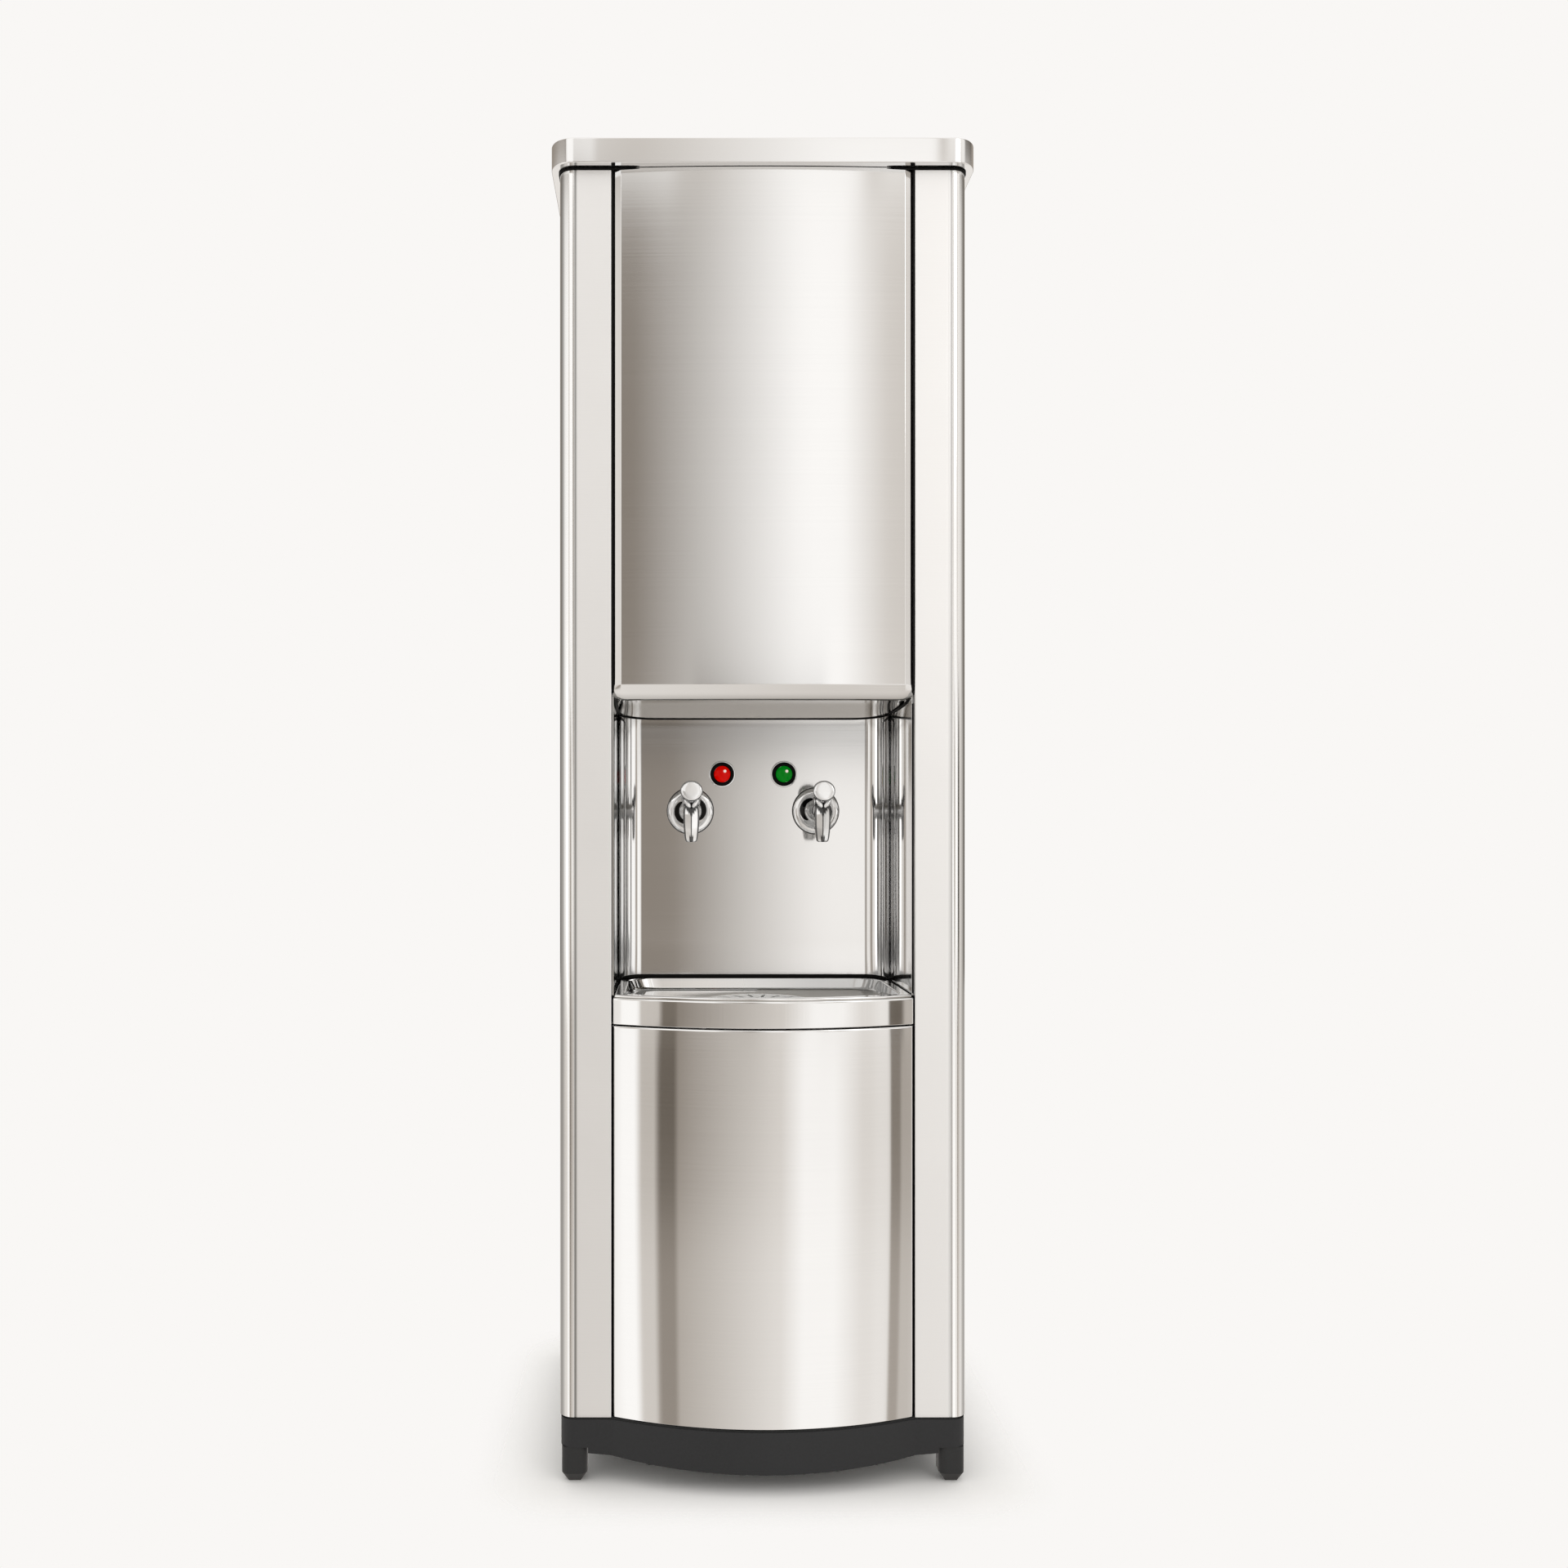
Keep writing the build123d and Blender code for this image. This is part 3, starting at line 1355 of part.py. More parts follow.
def tap_stem(x):
    """Valve stem with its washer just below the seat."""
    washer_top_z = seat_z - stem_gap
    with BuildPart() as stem:
        add(along_z(x, spout_y, washer_top_z, stem_top_z, stem_radius))
        add(along_z(x, spout_y, washer_top_z - stem_washer_thickness, washer_top_z,
                    stem_washer_radius))
    return stem


def tap_spring(x):
    """Space of the closing spring, as a sleeve under the stem's washer."""
    spring_top_z = seat_z - stem_gap - stem_washer_thickness - stem_gap
    with BuildPart() as spring:
        add(along_z(x, spout_y, chamber_floor_z, spring_top_z, spring_radius))
        add(along_z(x, spout_y, chamber_floor_z, spring_top_z, spring_radius - spring_wall),
            mode=Mode.SUBTRACT)
    return spring


for place, x in tap_places.items():
    save(tap_body(x), f"tap_body_{place}")
    save(tap_lever(x), f"tap_lever_{place}")
    save(tap_stem(x), f"tap_stem_{place}")
    save(tap_spring(x), f"tap_spring_{place}")

with BuildPart() as tap_pins:
    with Locations(*[(x, pivot_y, tap_pivot_z) for x in tap_places.values()]):
        Cylinder(pin_radius, 2 * ear_outer, rotation=(0, 90, 0))
save(tap_pins, "tap_pins")

with BuildPart() as tap_nuts:
    with BuildSketch(Plane.XZ.offset(-(niche_wall_y + sheet))):
        with Locations(*[(x, tap_z) for x in tap_places.values()]):
            RegularPolygon(tap_nut_radius, 6)
            Circle(tap_shank_radius, mode=Mode.SUBTRACT)
    extrude(amount=-tap_nut_thickness)
save(tap_nuts, "tap_nuts")

# Pilot lamps: a black bezel clipped into the niche wall, with a domed lens
lens_seat_y = niche_wall_y - bezel_height / 2
for place, x in lamp_places.items():
    with BuildPart() as lamp_bezel:
        add(along_y(x, lamp_z, niche_wall_y - bezel_height, niche_wall_y, bezel_radius))
        face_rim = lamp_bezel.edges().filter_by(GeomType.CIRCLE).sort_by(Axis.Y)[0]
        fillet(face_rim, radius=bezel_height / 3)
        barrel_end_y = niche_wall_y + bezel_barrel_length
        add(along_y(x, lamp_z, niche_wall_y, barrel_end_y, bezel_barrel_radius))
        add(along_y(x, lamp_z, niche_wall_y - bezel_height - 1, lens_seat_y, lens_radius + lens_fit),
            mode=Mode.SUBTRACT)
    save(lamp_bezel, f"lamp_bezel_{place}")
    with BuildPart() as lamp_lens:
        with BuildSketch(Plane.YZ.offset(x)):
            lens_shoulder_y = niche_wall_y - bezel_height
            lens_tip_y = lens_seat_y - lens_height
            with BuildLine():
                Polyline(
                    (lens_tip_y, lamp_z),
                    (lens_seat_y, lamp_z),
                    (lens_seat_y, lamp_z + lens_radius),
                    (lens_shoulder_y, lamp_z + lens_radius),
                )
                TangentArc(
                    (lens_tip_y, lamp_z), (lens_shoulder_y, lamp_z + lens_radius), tangent=(0, 1)
                )
            make_face()
        revolve(axis=Axis((x, 0, lamp_z), (0, 1, 0)))
    save(lamp_lens, f"lamp_lens_{place}")

# Compressor: a welded shell on a plate that stands on four rubber grommets
plate_z = pan_floor_z + sheet + grommet_height
shell_z = plate_z + plate_thickness
shell_top_z = shell_z + compressor_height
seam_z = shell_z + compressor_seam_height
stub_z = shell_z + compressor_height / 2
with BuildPart() as compressor:
    add(along_z(compressor_x, compressor_y, shell_z, shell_top_z, compressor_radius))
    rims = compressor.edges().filter_by(GeomType.CIRCLE)
    fillet(rims.sort_by(Axis.Z)[-1], radius=compressor_radius / 2)
    fillet(compressor.edges().filter_by(GeomType.CIRCLE).sort_by(Axis.Z)[0],
           radius=compressor_radius / 4)
    add(along_z(compressor_x, compressor_y, seam_z, seam_z + compressor_seam,
                compressor_radius + compressor_seam))
    with BuildSketch(Plane.XY.offset(plate_z)):
        with Locations((compressor_x, compressor_y)):
            RectangleRounded(plate_width, plate_depth, mount_hole_radius)
        with Locations(*stud_places):
            Circle(mount_hole_radius, mode=Mode.SUBTRACT)
    extrude(amount=plate_thickness)
    for side in (-1, 1):
        with Locations((compressor_x + side * compressor_radius, compressor_y, stub_z)):
            Cylinder(
                suction_radius, 4 * compressor_seam + seat_gap, rotation=(0, 90, 0),
            )
save(compressor, "compressor")

with BuildPart() as compressor_grommets:
    for x, y in stud_places:
        grommet_z = pan_floor_z + sheet
        sleeve_radius = mount_hole_radius - seat_gap
        add(along_z(x, y, grommet_z, plate_z, grommet_radius))
        add(along_z(x, y, plate_z, plate_z + plate_thickness + 1, sleeve_radius))
        add(along_z(x, y, grommet_z, plate_z + 2 * plate_thickness, stud_radius + waste_fit),
            mode=Mode.SUBTRACT)
save(compressor_grommets, "compressor_grommets")

relay_y = compressor_y - compressor_radius - compressor_seam - seat_gap
with BuildPart() as relay_cover:
    with Locations((compressor_x, relay_y - relay_depth / 2, stub_z)):
        Box(relay_width, relay_depth, relay_height)
    fillet(relay_cover.edges().filter_by(Axis.Y), radius=compressor_seam)
save(relay_cover, "relay_cover")

# Condenser: a serpentine tube with wires across its runs, behind the louvres
condenser_y = lane_back_y
condenser_pitch = (condenser_top_z - condenser_bottom_z) / (condenser_runs - 1)
riser_x = fitting_x - waste_radius - riser_gap - condenser_tube_radius
lane_right_x = riser_x - circuit_bend
run_left = left_lane_x + condenser_side_gap + condenser_pitch / 2
run_right = lane_right_x - circuit_bend - condenser_pitch / 2
with BuildPart() as condenser:
    with BuildLine():
        Line((lane_right_x, condenser_y, condenser_top_z), (run_left, condenser_y, condenser_top_z))
        for run in range(condenser_runs - 1):
            z = condenser_top_z - run * condenser_pitch
            end_x = run_left if run % 2 == 0 else run_right
            outward = -1 if run % 2 == 0 else 1
            ThreePointArc(
                (end_x, condenser_y, z),
                (end_x + outward * condenser_pitch / 2, condenser_y, z - condenser_pitch / 2),
                (end_x, condenser_y, z - condenser_pitch),
            )
            last_x = run_right if end_x == run_left else run_left
            if run < condenser_runs - 2:
                Line((end_x, condenser_y, z - condenser_pitch), (last_x, condenser_y, z - condenser_pitch))
        FilletPolyline(
            (run_right, condenser_y, condenser_bottom_z),
            (left_lane_x, condenser_y, condenser_bottom_z),
            (left_lane_x, condenser_y, drier_base_z),
            radius=circuit_bend,
        )
    with BuildSketch(Plane(origin=(lane_right_x, condenser_y, condenser_top_z), z_dir=(-1, 0, 0))):
        Circle(condenser_tube_radius)
    sweep()
    wire_y = condenser_y - condenser_tube_radius + condenser_weld
    wire_step = (run_right - run_left) / condenser_wires
    wire_low_z = condenser_bottom_z - 2 * condenser_tube_radius
    wire_high_z = condenser_top_z + 2 * condenser_tube_radius
    for wire in range(condenser_wires):
        wire_x = run_left + (wire + 0.5) * wire_step
        add(along_z(wire_x, wire_y, wire_low_z, wire_high_z, condenser_wire_radius))
save(condenser, "condenser")

# Filter drier above the condenser's outlet, and the capillary from it to the evaporator
with BuildPart() as filter_drier:
    neck = drier_radius / 2
    with BuildSketch(Plane.YZ.offset(left_lane_x)):
        with BuildLine():
            Polyline(
                (condenser_y, drier_base_z),
                (condenser_y + neck, drier_base_z),
                (condenser_y + drier_radius, drier_base_z + drier_radius),
                (condenser_y + drier_radius, drier_base_z + drier_length - drier_radius),
                (condenser_y + neck, drier_base_z + drier_length),
                (condenser_y, drier_base_z + drier_length),
                close=True,
            )
        make_face()
    revolve(axis=Axis((left_lane_x, condenser_y, 0), (0, 0, 1)))
save(filter_drier, "filter_drier")

capillary_line = tube(
    [
        (left_lane_x, condenser_y, drier_base_z + drier_length),
        (left_lane_x, condenser_y, coil_low_z),
        (-coil_radius, condenser_y, coil_low_z),
        (-coil_radius, exit_y, coil_low_z),
    ],
    circuit_bend,
    capillary_radius,
)
save(capillary_line, "capillary_line")

# Suction line from the evaporator and discharge line to the condenser
stub_reach = compressor_radius + 2 * compressor_seam + seat_gap / 2
suction_line = tube(
    [
        (-coil_radius, exit_y, coil_high_z),
        (-coil_radius, left_lane_y, coil_high_z),
        (left_lane_x, left_lane_y, coil_high_z),
        (left_lane_x, left_lane_y, stub_z),
        (left_lane_x, compressor_y, stub_z),
        (compressor_x - stub_reach, compressor_y, stub_z),
    ],
    circuit_bend,
    suction_radius,
)
save(suction_line, "suction_line")

discharge_line = tube(
    [
        (compressor_x + stub_reach, compressor_y, stub_z),
        (riser_x, compressor_y, stub_z),
        (riser_x, condenser_y, stub_z),
        (riser_x, condenser_y, condenser_top_z),
        (lane_right_x, condenser_y, condenser_top_z),
    ],
    circuit_bend - seat_gap,
    condenser_tube_radius,
)
save(discharge_line, "discharge_line")
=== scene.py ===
import json
from math import acos, asin, atan2, cos, hypot, pi, radians, sin, sqrt, tan

import bmesh
import bpy
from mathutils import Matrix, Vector


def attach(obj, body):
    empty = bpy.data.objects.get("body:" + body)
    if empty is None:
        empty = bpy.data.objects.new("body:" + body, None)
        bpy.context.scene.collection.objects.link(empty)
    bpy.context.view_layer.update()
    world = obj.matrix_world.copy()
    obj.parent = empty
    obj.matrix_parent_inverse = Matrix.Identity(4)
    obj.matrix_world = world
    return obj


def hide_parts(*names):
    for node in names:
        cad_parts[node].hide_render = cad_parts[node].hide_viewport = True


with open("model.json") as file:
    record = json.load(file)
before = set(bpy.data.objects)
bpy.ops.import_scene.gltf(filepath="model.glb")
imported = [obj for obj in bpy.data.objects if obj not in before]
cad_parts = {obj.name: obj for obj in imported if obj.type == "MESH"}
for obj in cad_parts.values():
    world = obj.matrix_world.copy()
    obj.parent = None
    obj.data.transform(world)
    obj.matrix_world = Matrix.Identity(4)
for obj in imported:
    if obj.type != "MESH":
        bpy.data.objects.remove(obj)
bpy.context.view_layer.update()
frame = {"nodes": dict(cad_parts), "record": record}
NODES = frame["nodes"]
MM = 0.001


# Node helpers
class Tree:
    """Short way to add and join shader nodes."""

    def __init__(self, tree):
        self.tree = tree
        tree.nodes.clear()

    def add(self, kind, **values):
        node = self.tree.nodes.new("ShaderNode" + kind)
        for key, value in values.items():
            setattr(node, key, value)
        return node

    def join(self, source, target):
        self.tree.links.new(source, target)

    def put(self, socket, value):
        if isinstance(value, bpy.types.NodeSocket):
            self.join(value, socket)
        elif value is not None:
            socket.default_value = value

    def math(self, operation, a, b=None, clamp=False):
        node = self.add("Math", operation=operation, use_clamp=clamp)
        for socket, value in zip(node.inputs, (a, b)):
            self.put(socket, value)
        return node.outputs[0]

    def times(self, a, b):
        return self.math("MULTIPLY", a, b)

    def spread(self, value, low, high, to_low=0.0, to_high=1.0, smooth=False):
        node = self.add("MapRange", interpolation_type="SMOOTHSTEP" if smooth else "LINEAR")
        for socket, item in zip(node.inputs, (value, low, high, to_low, to_high)):
            self.put(socket, item)
        return node.outputs[0]

    def mix(self, factor, a, b, blend="MIX"):
        node = self.add("Mix", data_type="RGBA", blend_type=blend, clamp_factor=True)
        self.put(node.inputs["Factor"], factor)
        self.put(node.inputs[6], a)
        self.put(node.inputs[7], b)
        return node.outputs[2]

    def blend(self, factor, a, b):
        node = self.add("MixShader")
        for socket, source in zip(node.inputs, (factor, a, b)):
            self.join(source, socket)
        return node.outputs[0]

    def noise(self, vector, scale, detail=2.0, roughness=0.5, distortion=0.0):
        node = self.add("TexNoise")
        self.join(vector, node.inputs["Vector"])
        keys = ("Scale", "Detail", "Roughness", "Distortion")
        for key, value in zip(keys, (scale, detail, roughness, distortion)):
            node.inputs[key].default_value = value
        return node.outputs["Fac"]

    def stretched(self, scale):
        coords = self.add("TexCoord").outputs["Object"]
        mapping = self.add("Mapping")
        self.join(coords, mapping.inputs["Vector"])
        mapping.inputs["Scale"].default_value = scale
        return mapping.outputs["Vector"]

    def ramp(self, factor, stops):
        node = self.add("ValToRGB")
        band = node.color_ramp
        while len(band.elements) > 1:
            band.elements.remove(band.elements[-1])
        for index, (place, colour) in enumerate(stops):
            item = band.elements.new(place) if index else band.elements[0]
            item.position = place
            item.color = (*colour, 1.0)
        self.join(factor, node.inputs["Fac"])
        return node.outputs["Color"]

    def around(self, angle, stops, span=20):
        """Colour by angle from (degrees, colour) stops, in short ramps that keep edges sharp."""
        result = None
        start = 0
        while start < len(stops) - 1:
            end = min(start + span, len(stops) - 1)
            low, high = stops[start][0], stops[end][0]
            part = [((place - low) / (high - low), colour) for place, colour in stops[start:end + 1]]
            colour = self.ramp(self.spread(angle, low, high), part)
            if result is None:
                result = colour
            else:
                result = self.mix(self.math("GREATER_THAN", angle, low), result, colour)
            start = end
        return result


def linear(value):
    value = value / 255.0
    return value / 12.92 if value <= 0.04045 else ((value + 0.055) / 1.055) ** 2.4


def rgb(r, g, b):
    return (linear(r), linear(g), linear(b), 1.0)


def grey(value):
    return rgb(value, value, value)


# Materials
# Direction of the brushing: upright, leaning a little
UP = (0.02, 0.03, 1)
WEAR_SCALE = 7.0
# Share of the metal's mirror taken away where the shade value is below 0: painted light
PALE_SHARE = 0.8
COAT_ROUGHNESS = 0.06
# Colour of the painted highlight on the lamp lenses
GLINT = rgb(255, 236, 226)


def surface(
    name, colour, rough, metal=0.0, grain=60, grain_colour=0.06, grain_rough=0.06,
    bump=0.0, bump_depth=0.0002, wear=0.05, aniso=0.0, coat=0.0, specular=0.5,
    second=None, glow=0.0, shade=None, shade_rough=0.0, spot=None,
):
    """Procedural finish: fine grain, broad wear and a slight relief.

    A painted shade colour is mixed in by each point's shade value, and below 0 that value
    makes metal less mirror-like, which paints it paler. A spot is a painted highlight: its
    place and radius in metres.
    """
    material = bpy.data.materials.new(name)
    material.use_nodes = True
    tree = Tree(material.node_tree)
    out = tree.add("OutputMaterial")
    shader = tree.add("BsdfPrincipled")
    sockets = shader.inputs
    tree.join(shader.outputs[0], out.inputs[0])
    fine = tree.noise(tree.stretched(grain if isinstance(grain, tuple) else (grain,) * 3), 1.0, 3.0, 0.6)
    broad = tree.noise(tree.stretched((WEAR_SCALE,) * 3), 1.0, 4.0, 0.55, 0.4)
    fine_tint = tree.spread(fine, 0.25, 0.75, 1 - grain_colour, 1 + grain_colour)
    broad_tint = tree.spread(broad, 0.3, 0.7, 1 - wear, 1 + wear)
    base = colour
    if second is not None:
        base = tree.mix(tree.spread(broad, 0.45, 0.6, 0.0, 1.0, True), colour, second)
    mixed = tree.mix(1.0, base, tree.times(fine_tint, broad_tint), "MULTIPLY")
    usual = {"Metallic": metal, "Specular IOR Level": specular, "Coat Weight": coat, "Anisotropic": aniso}
    for key, value in usual.items():
        sockets[key].default_value = value
    # Painted shade: each point's shade value mixes the shade colour into the base colour
    if shade is not None:
        own = tree.add("Attribute", attribute_name="shade").outputs["Fac"]
        mixed = tree.mix(own, mixed, shade)
        if metal == 1:
            pale = tree.math("MAXIMUM", tree.times(own, -1.0), 0.0)
            less = tree.times(pale, PALE_SHARE)
            tree.join(tree.math("SUBTRACT", 1.0, less), sockets["Metallic"])
    # Painted highlight: a fixed bright spot mixed into the colour
    if spot is not None:
        *place, radius = spot
        away = tree.add("VectorMath", operation="DISTANCE")
        tree.join(tree.add("TexCoord").outputs["Object"], away.inputs[0])
        away.inputs[1].default_value = place
        near = tree.spread(away.outputs["Value"], radius * 0.5, radius, 1.0, 0.0, True)
        mixed = tree.mix(near, mixed, GLINT)
    tree.join(mixed, sockets["Base Color"])
    roughness = tree.spread(fine, 0.25, 0.75, rough - grain_rough / 2, rough + grain_rough / 2)
    if shade_rough:
        roughness = tree.math("ADD", roughness, tree.times(own, shade_rough))
    roughness = tree.math("ADD", roughness, tree.spread(broad, 0.3, 0.7, -wear / 2, wear / 2), clamp=True)
    tree.join(roughness, sockets["Roughness"])
    if coat:
        sockets["Coat Roughness"].default_value = COAT_ROUGHNESS
    if aniso:
        direction = tree.add("CombineXYZ")
        for socket, value in zip(direction.inputs, UP):
            socket.default_value = value
        tree.join(direction.outputs[0], sockets["Tangent"])
    if bump:
        relief = tree.add("Bump")
        tree.put(relief.inputs["Strength"], bump)
        tree.put(relief.inputs["Distance"], bump_depth)
        tree.join(fine, relief.inputs["Height"])
        tree.join(relief.outputs[0], sockets["Normal"])
    if glow:
        tree.join(mixed, sockets["Emission Color"])
        sockets["Emission Strength"].default_value = glow
    return material


FINISH = {}


def finish(slot, *values, **more):
    FINISH[slot] = surface(slot, *values, **more)


# After the slot: colour, roughness, metal, grain, its share in the colour and in the
# roughness, and the strength of the relief
STEEL = grey(231)
SATIN = {"grain": (6, 6, 900), "grain_colour": 0.012, "grain_rough": 0.02, "wear": 0.01, "aniso": 0.5}
BRUSHED = {"grain": (3, 3, 1400), "grain_colour": 0.012, "grain_rough": 0.02, "wear": 0.008}
LENS = {"wear": 0.03, "specular": 0.1, "glow": 0.42}
finish("side_steel", grey(245), 0.42, 1, **SATIN)
finish("hood_steel", STEEL, 0.085, 1, aniso=0.92, **BRUSHED)
finish("lower_steel", STEEL, 0.07, 1, aniso=0.92, **BRUSHED)
finish("niche_steel", STEEL, 0.065, 1, aniso=0.94, **BRUSHED)
# Basin steel with painted shade, and painted light where the shade value is below 0
finish("basin_steel", STEEL, 0.05, 1, (900, 6, 6), 0.012, 0.015, wear=0.006,
       shade=rgb(158, 155, 148), shade_rough=0.25)
finish("strainer_steel", rgb(240, 240, 238), 0.2, 0.5, 300, 0.03, 0.05, wear=0.03)
finish("cap_steel", STEEL, 0.08, 1, (4, 4, 1200), 0.012, 0.02, wear=0.008, aniso=0.9)
finish("back_steel", rgb(190, 192, 194), 0.42, 1, 90, 0.1, 0.12, wear=0.06)
finish("frame_steel", rgb(186, 188, 190), 0.4, 1, 70, 0.1, 0.12, wear=0.06)
finish("pan_steel", grey(50), 0.5, 0, 300, 0.12, 0.1, 0.3, specular=0.25)
finish("plinth_plastic", rgb(45, 45, 46), 0.55, 0, 500, 0.1, 0.1, 0.25, specular=0.2)
finish("foot_plastic", grey(46), 0.5, 0, 500, 0.1, 0.1, 0.2, wear=0.04, specular=0.2)
# Chrome with painted dark reflections, mixed in by each point's shade value
finish("tap_chrome", grey(250), 0.05, 0.6, 200, 0.01, 0.02, wear=0.008, shade=rgb(20, 20, 19))
finish("stem_steel", rgb(214, 214, 216), 0.16, 1, (20, 20, 900), 0.03, 0.06)
finish("spring_steel", rgb(190, 190, 192), 0.24, 1, (40, 40, 1500), 0.2, 0.1, 0.4)
finish("nut_brass", rgb(206, 174, 96), 0.28, 1, 300, 0.05, 0.08)
finish("bezel_plastic", grey(5), 0.35, 0, 200, 0.1, 0.05, specular=0.08)
# Lenses with a painted highlight spot at the given place
finish("lens_red", (0.62, 0.002, 0.0, 1), 0.12, 0, 300, 0.03, 0.04,
       spot=(-0.0312, 0.0025, 0.7026, 0.0022), **LENS)
finish("lens_green", (0.0, 0.19, 0.008, 1), 0.12, 0, 300, 0.03, 0.04,
       spot=(0.0368, 0.0025, 0.7026, 0.0022), **LENS)
finish("tank_steel", grey(214), 0.3, 1, (6, 6, 700), 0.05, 0.08, aniso=0.4)
finish("foam", rgb(226, 214, 176), 0.85, 0, 160, 0.14, 0.1, 0.5, 0.001, wear=0.1,
       second=rgb(212, 196, 150))
finish("copper", rgb(206, 140, 108), 0.3, 1, 60, 0.1, 0.12, wear=0.12, second=rgb(168, 104, 78))
finish("lid_plastic", rgb(232, 232, 228), 0.45, 0, 300, 0.03, 0.06, 0.1)
finish("valve_plastic", rgb(226, 228, 230), 0.4, 0, 300, 0.03, 0.06, 0.1)
finish("float_plastic", rgb(230, 228, 220), 0.42, 0, 200, 0.03, 0.06, 0.1)
finish("hose_silicone", rgb(222, 222, 216), 0.35, 0, 200, 0.04, 0.08, 0.1)
finish("hose_grey", rgb(110, 112, 114), 0.55, 0, 200, 0.1, 0.1, 0.2)
finish("fitting_plastic", rgb(40, 41, 43), 0.45, 0, 400, 0.1, 0.1, 0.2)
finish("fitting_brass", rgb(210, 182, 120), 0.26, 1, 300, 0.05, 0.1, wear=0.06)
finish("control_plastic", rgb(28, 28, 30), 0.34, 0, 400, 0.1, 0.08, 0.15, coat=0.2)
finish("rocker_red", rgb(176, 22, 20), 0.25, 0, 300, coat=0.4)
finish("rocker_green", rgb(20, 128, 56), 0.25, 0, 300, coat=0.4)
finish("screw_steel", rgb(204, 204, 206), 0.26, 1, 600, 0.06, 0.1)
finish("compressor_paint", rgb(26, 26, 28), 0.35, 0, 150, 0.1, 0.1, 0.2, coat=0.3)
finish("condenser_paint", rgb(34, 34, 36), 0.42, 0, 200, 0.12, 0.1, 0.2)
finish("grommet_rubber", rgb(34, 34, 35), 0.8, 0, 300, 0.1, 0.1, 0.3)
finish("heater_steel", rgb(160, 158, 152), 0.36, 1, 200, 0.1, 0.1, wear=0.12)
# Hood steel with painted shade on its foot and underside
hood_steel_painted_shade = surface("hood_steel_painted_shade", STEEL, 0.085, 1, aniso=0.92, shade=rgb(100, 96, 86), **BRUSHED)
# Column steel with painted shade along the crease, the inner edge and the corner
column_steel_painted_shade = surface("column_steel_painted_shade", grey(246), 0.4, 1, shade=rgb(70, 68, 62), **SATIN)
corner_steel_painted_shade = surface("corner_steel_painted_shade", grey(240), 0.12, 1, shade=rgb(62, 60, 54), **SATIN)
# Near-black stuff for the beads and strips that fill the gaps: painted shadow
gap_shadow_fill = surface("gap_shadow_fill", rgb(9, 8, 7), 0.6, 0, 400, 0.15, 0.1, 0.2, specular=0.12)
SLOT_OF = {item["node"]: item["material_slot"] for item in frame["record"]["subparts"]}
for name, node in NODES.items():
    node.data.materials.clear()
    node.data.materials.append(FINISH[SLOT_OF[name]])


# Mesh helpers
def add_object(name, data):
    obj = bpy.data.objects.new(name, data)
    bpy.context.scene.collection.objects.link(obj)
    return obj


def unit(value):
    return max(0.0, min(1.0, value))


def between(table, place):
    """Values at a place in a table of (place, value, ...) rows, straight between the rows."""
    for (a, *low), (b, *high) in zip(table, table[1:]):
        if place <= b:
            share = (place - a) / (b - a)
            return [start + (end - start) * share for start, end in zip(low, high)]
    return list(table[-1][1:])


def piece(name, verts, faces, slot, replaces=(), sharp=30, body="cabinet", material=None, shades=None):
    """Mesh object from points in mm, riding on a body, with its finish."""
    mesh = bpy.data.meshes.new(name)
    mesh.from_pydata([(x * MM, y * MM, z * MM) for x, y, z in verts], [], faces)
    if shades is not None:
        own = mesh.attributes.new("shade", "FLOAT", "POINT")
        own.data.foreach_set("value", shades)
    mesh.polygons.foreach_set("use_smooth", [True] * len(mesh.polygons))
    mesh.set_sharp_from_angle(angle=radians(sharp))
    mesh.update()
    obj = add_object(name, mesh)
    mesh.materials.append(material or FINISH[slot])
    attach(obj, body)
    if replaces:
        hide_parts(*replaces)
    return obj


def turn_outwards(mesh):
    work = bmesh.new()
    work.from_mesh(mesh)
    bmesh.ops.recalc_face_normals(work, faces=work.faces)
    work.to_mesh(mesh)
    work.free()
    mesh.update()


def mend_normals(obj, sharp=None):
    """Turn a closed mesh's faces outwards, and mark its sharp edges again if an angle is given."""
    turn_outwards(obj.data)
    if sharp is not None:
        obj.data.set_sharp_from_angle(angle=radians(sharp))


def soften(corners, steps=6, pad=0.25):
    """Line through (a, b, radius) corners, each an arc with a support point at each end."""
    line = []
    last = len(corners) - 1
    for index, (a, b, radius) in enumerate(corners):
        if index in (0, last) or radius == 0:
            line.append((a, b))
            continue
        point = Vector((a, b))
        before = (Vector(corners[index - 1][:2]) - point).normalized()
        after = (Vector(corners[index + 1][:2]) - point).normalized()
        half = acos(max(-1.0, min(1.0, before.dot(after)))) / 2
        centre = point + (before + after).normalized() * (radius / sin(half))
        reach = radius / tan(half)
        first, second = point + before * reach, point + after * reach
        angle = atan2(first.y - centre.y, first.x - centre.x)
        sweep = (atan2(second.y - centre.y, second.x - centre.x) - angle + pi) % (2 * pi) - pi
        line.append(tuple(first + before * pad))
        for step in range(steps + 1):
            place = angle + sweep * step / steps
            line.append((centre.x + radius * cos(place), centre.y + radius * sin(place)))
        line.append(tuple(second + after * pad))
    return line


def grid(rows, wrap=False):
    """Vertices and faces of a net of rows with equal numbers of points."""
    verts = [point for row in rows for point in row]
    width = len(rows[0])
    faces = []
    for j in range(len(rows) - 1):
        for i in range(width if wrap else width - 1):
            k = (i + 1) % width
            faces.append((j * width + i, j * width + k, (j + 1) * width + k, (j + 1) * width + i))
    return verts, faces


def closed_rows(rows):
    """Net of closed rows with a face over each end."""
    verts, faces = grid(rows, wrap=True)
    width = len(rows[0])
    faces.append(tuple(range(width)))
    faces.append(tuple(reversed(range(len(verts) - width, len(verts)))))
    return verts, faces


def turned_back(faces):
    return [tuple(reversed(face)) for face in faces]


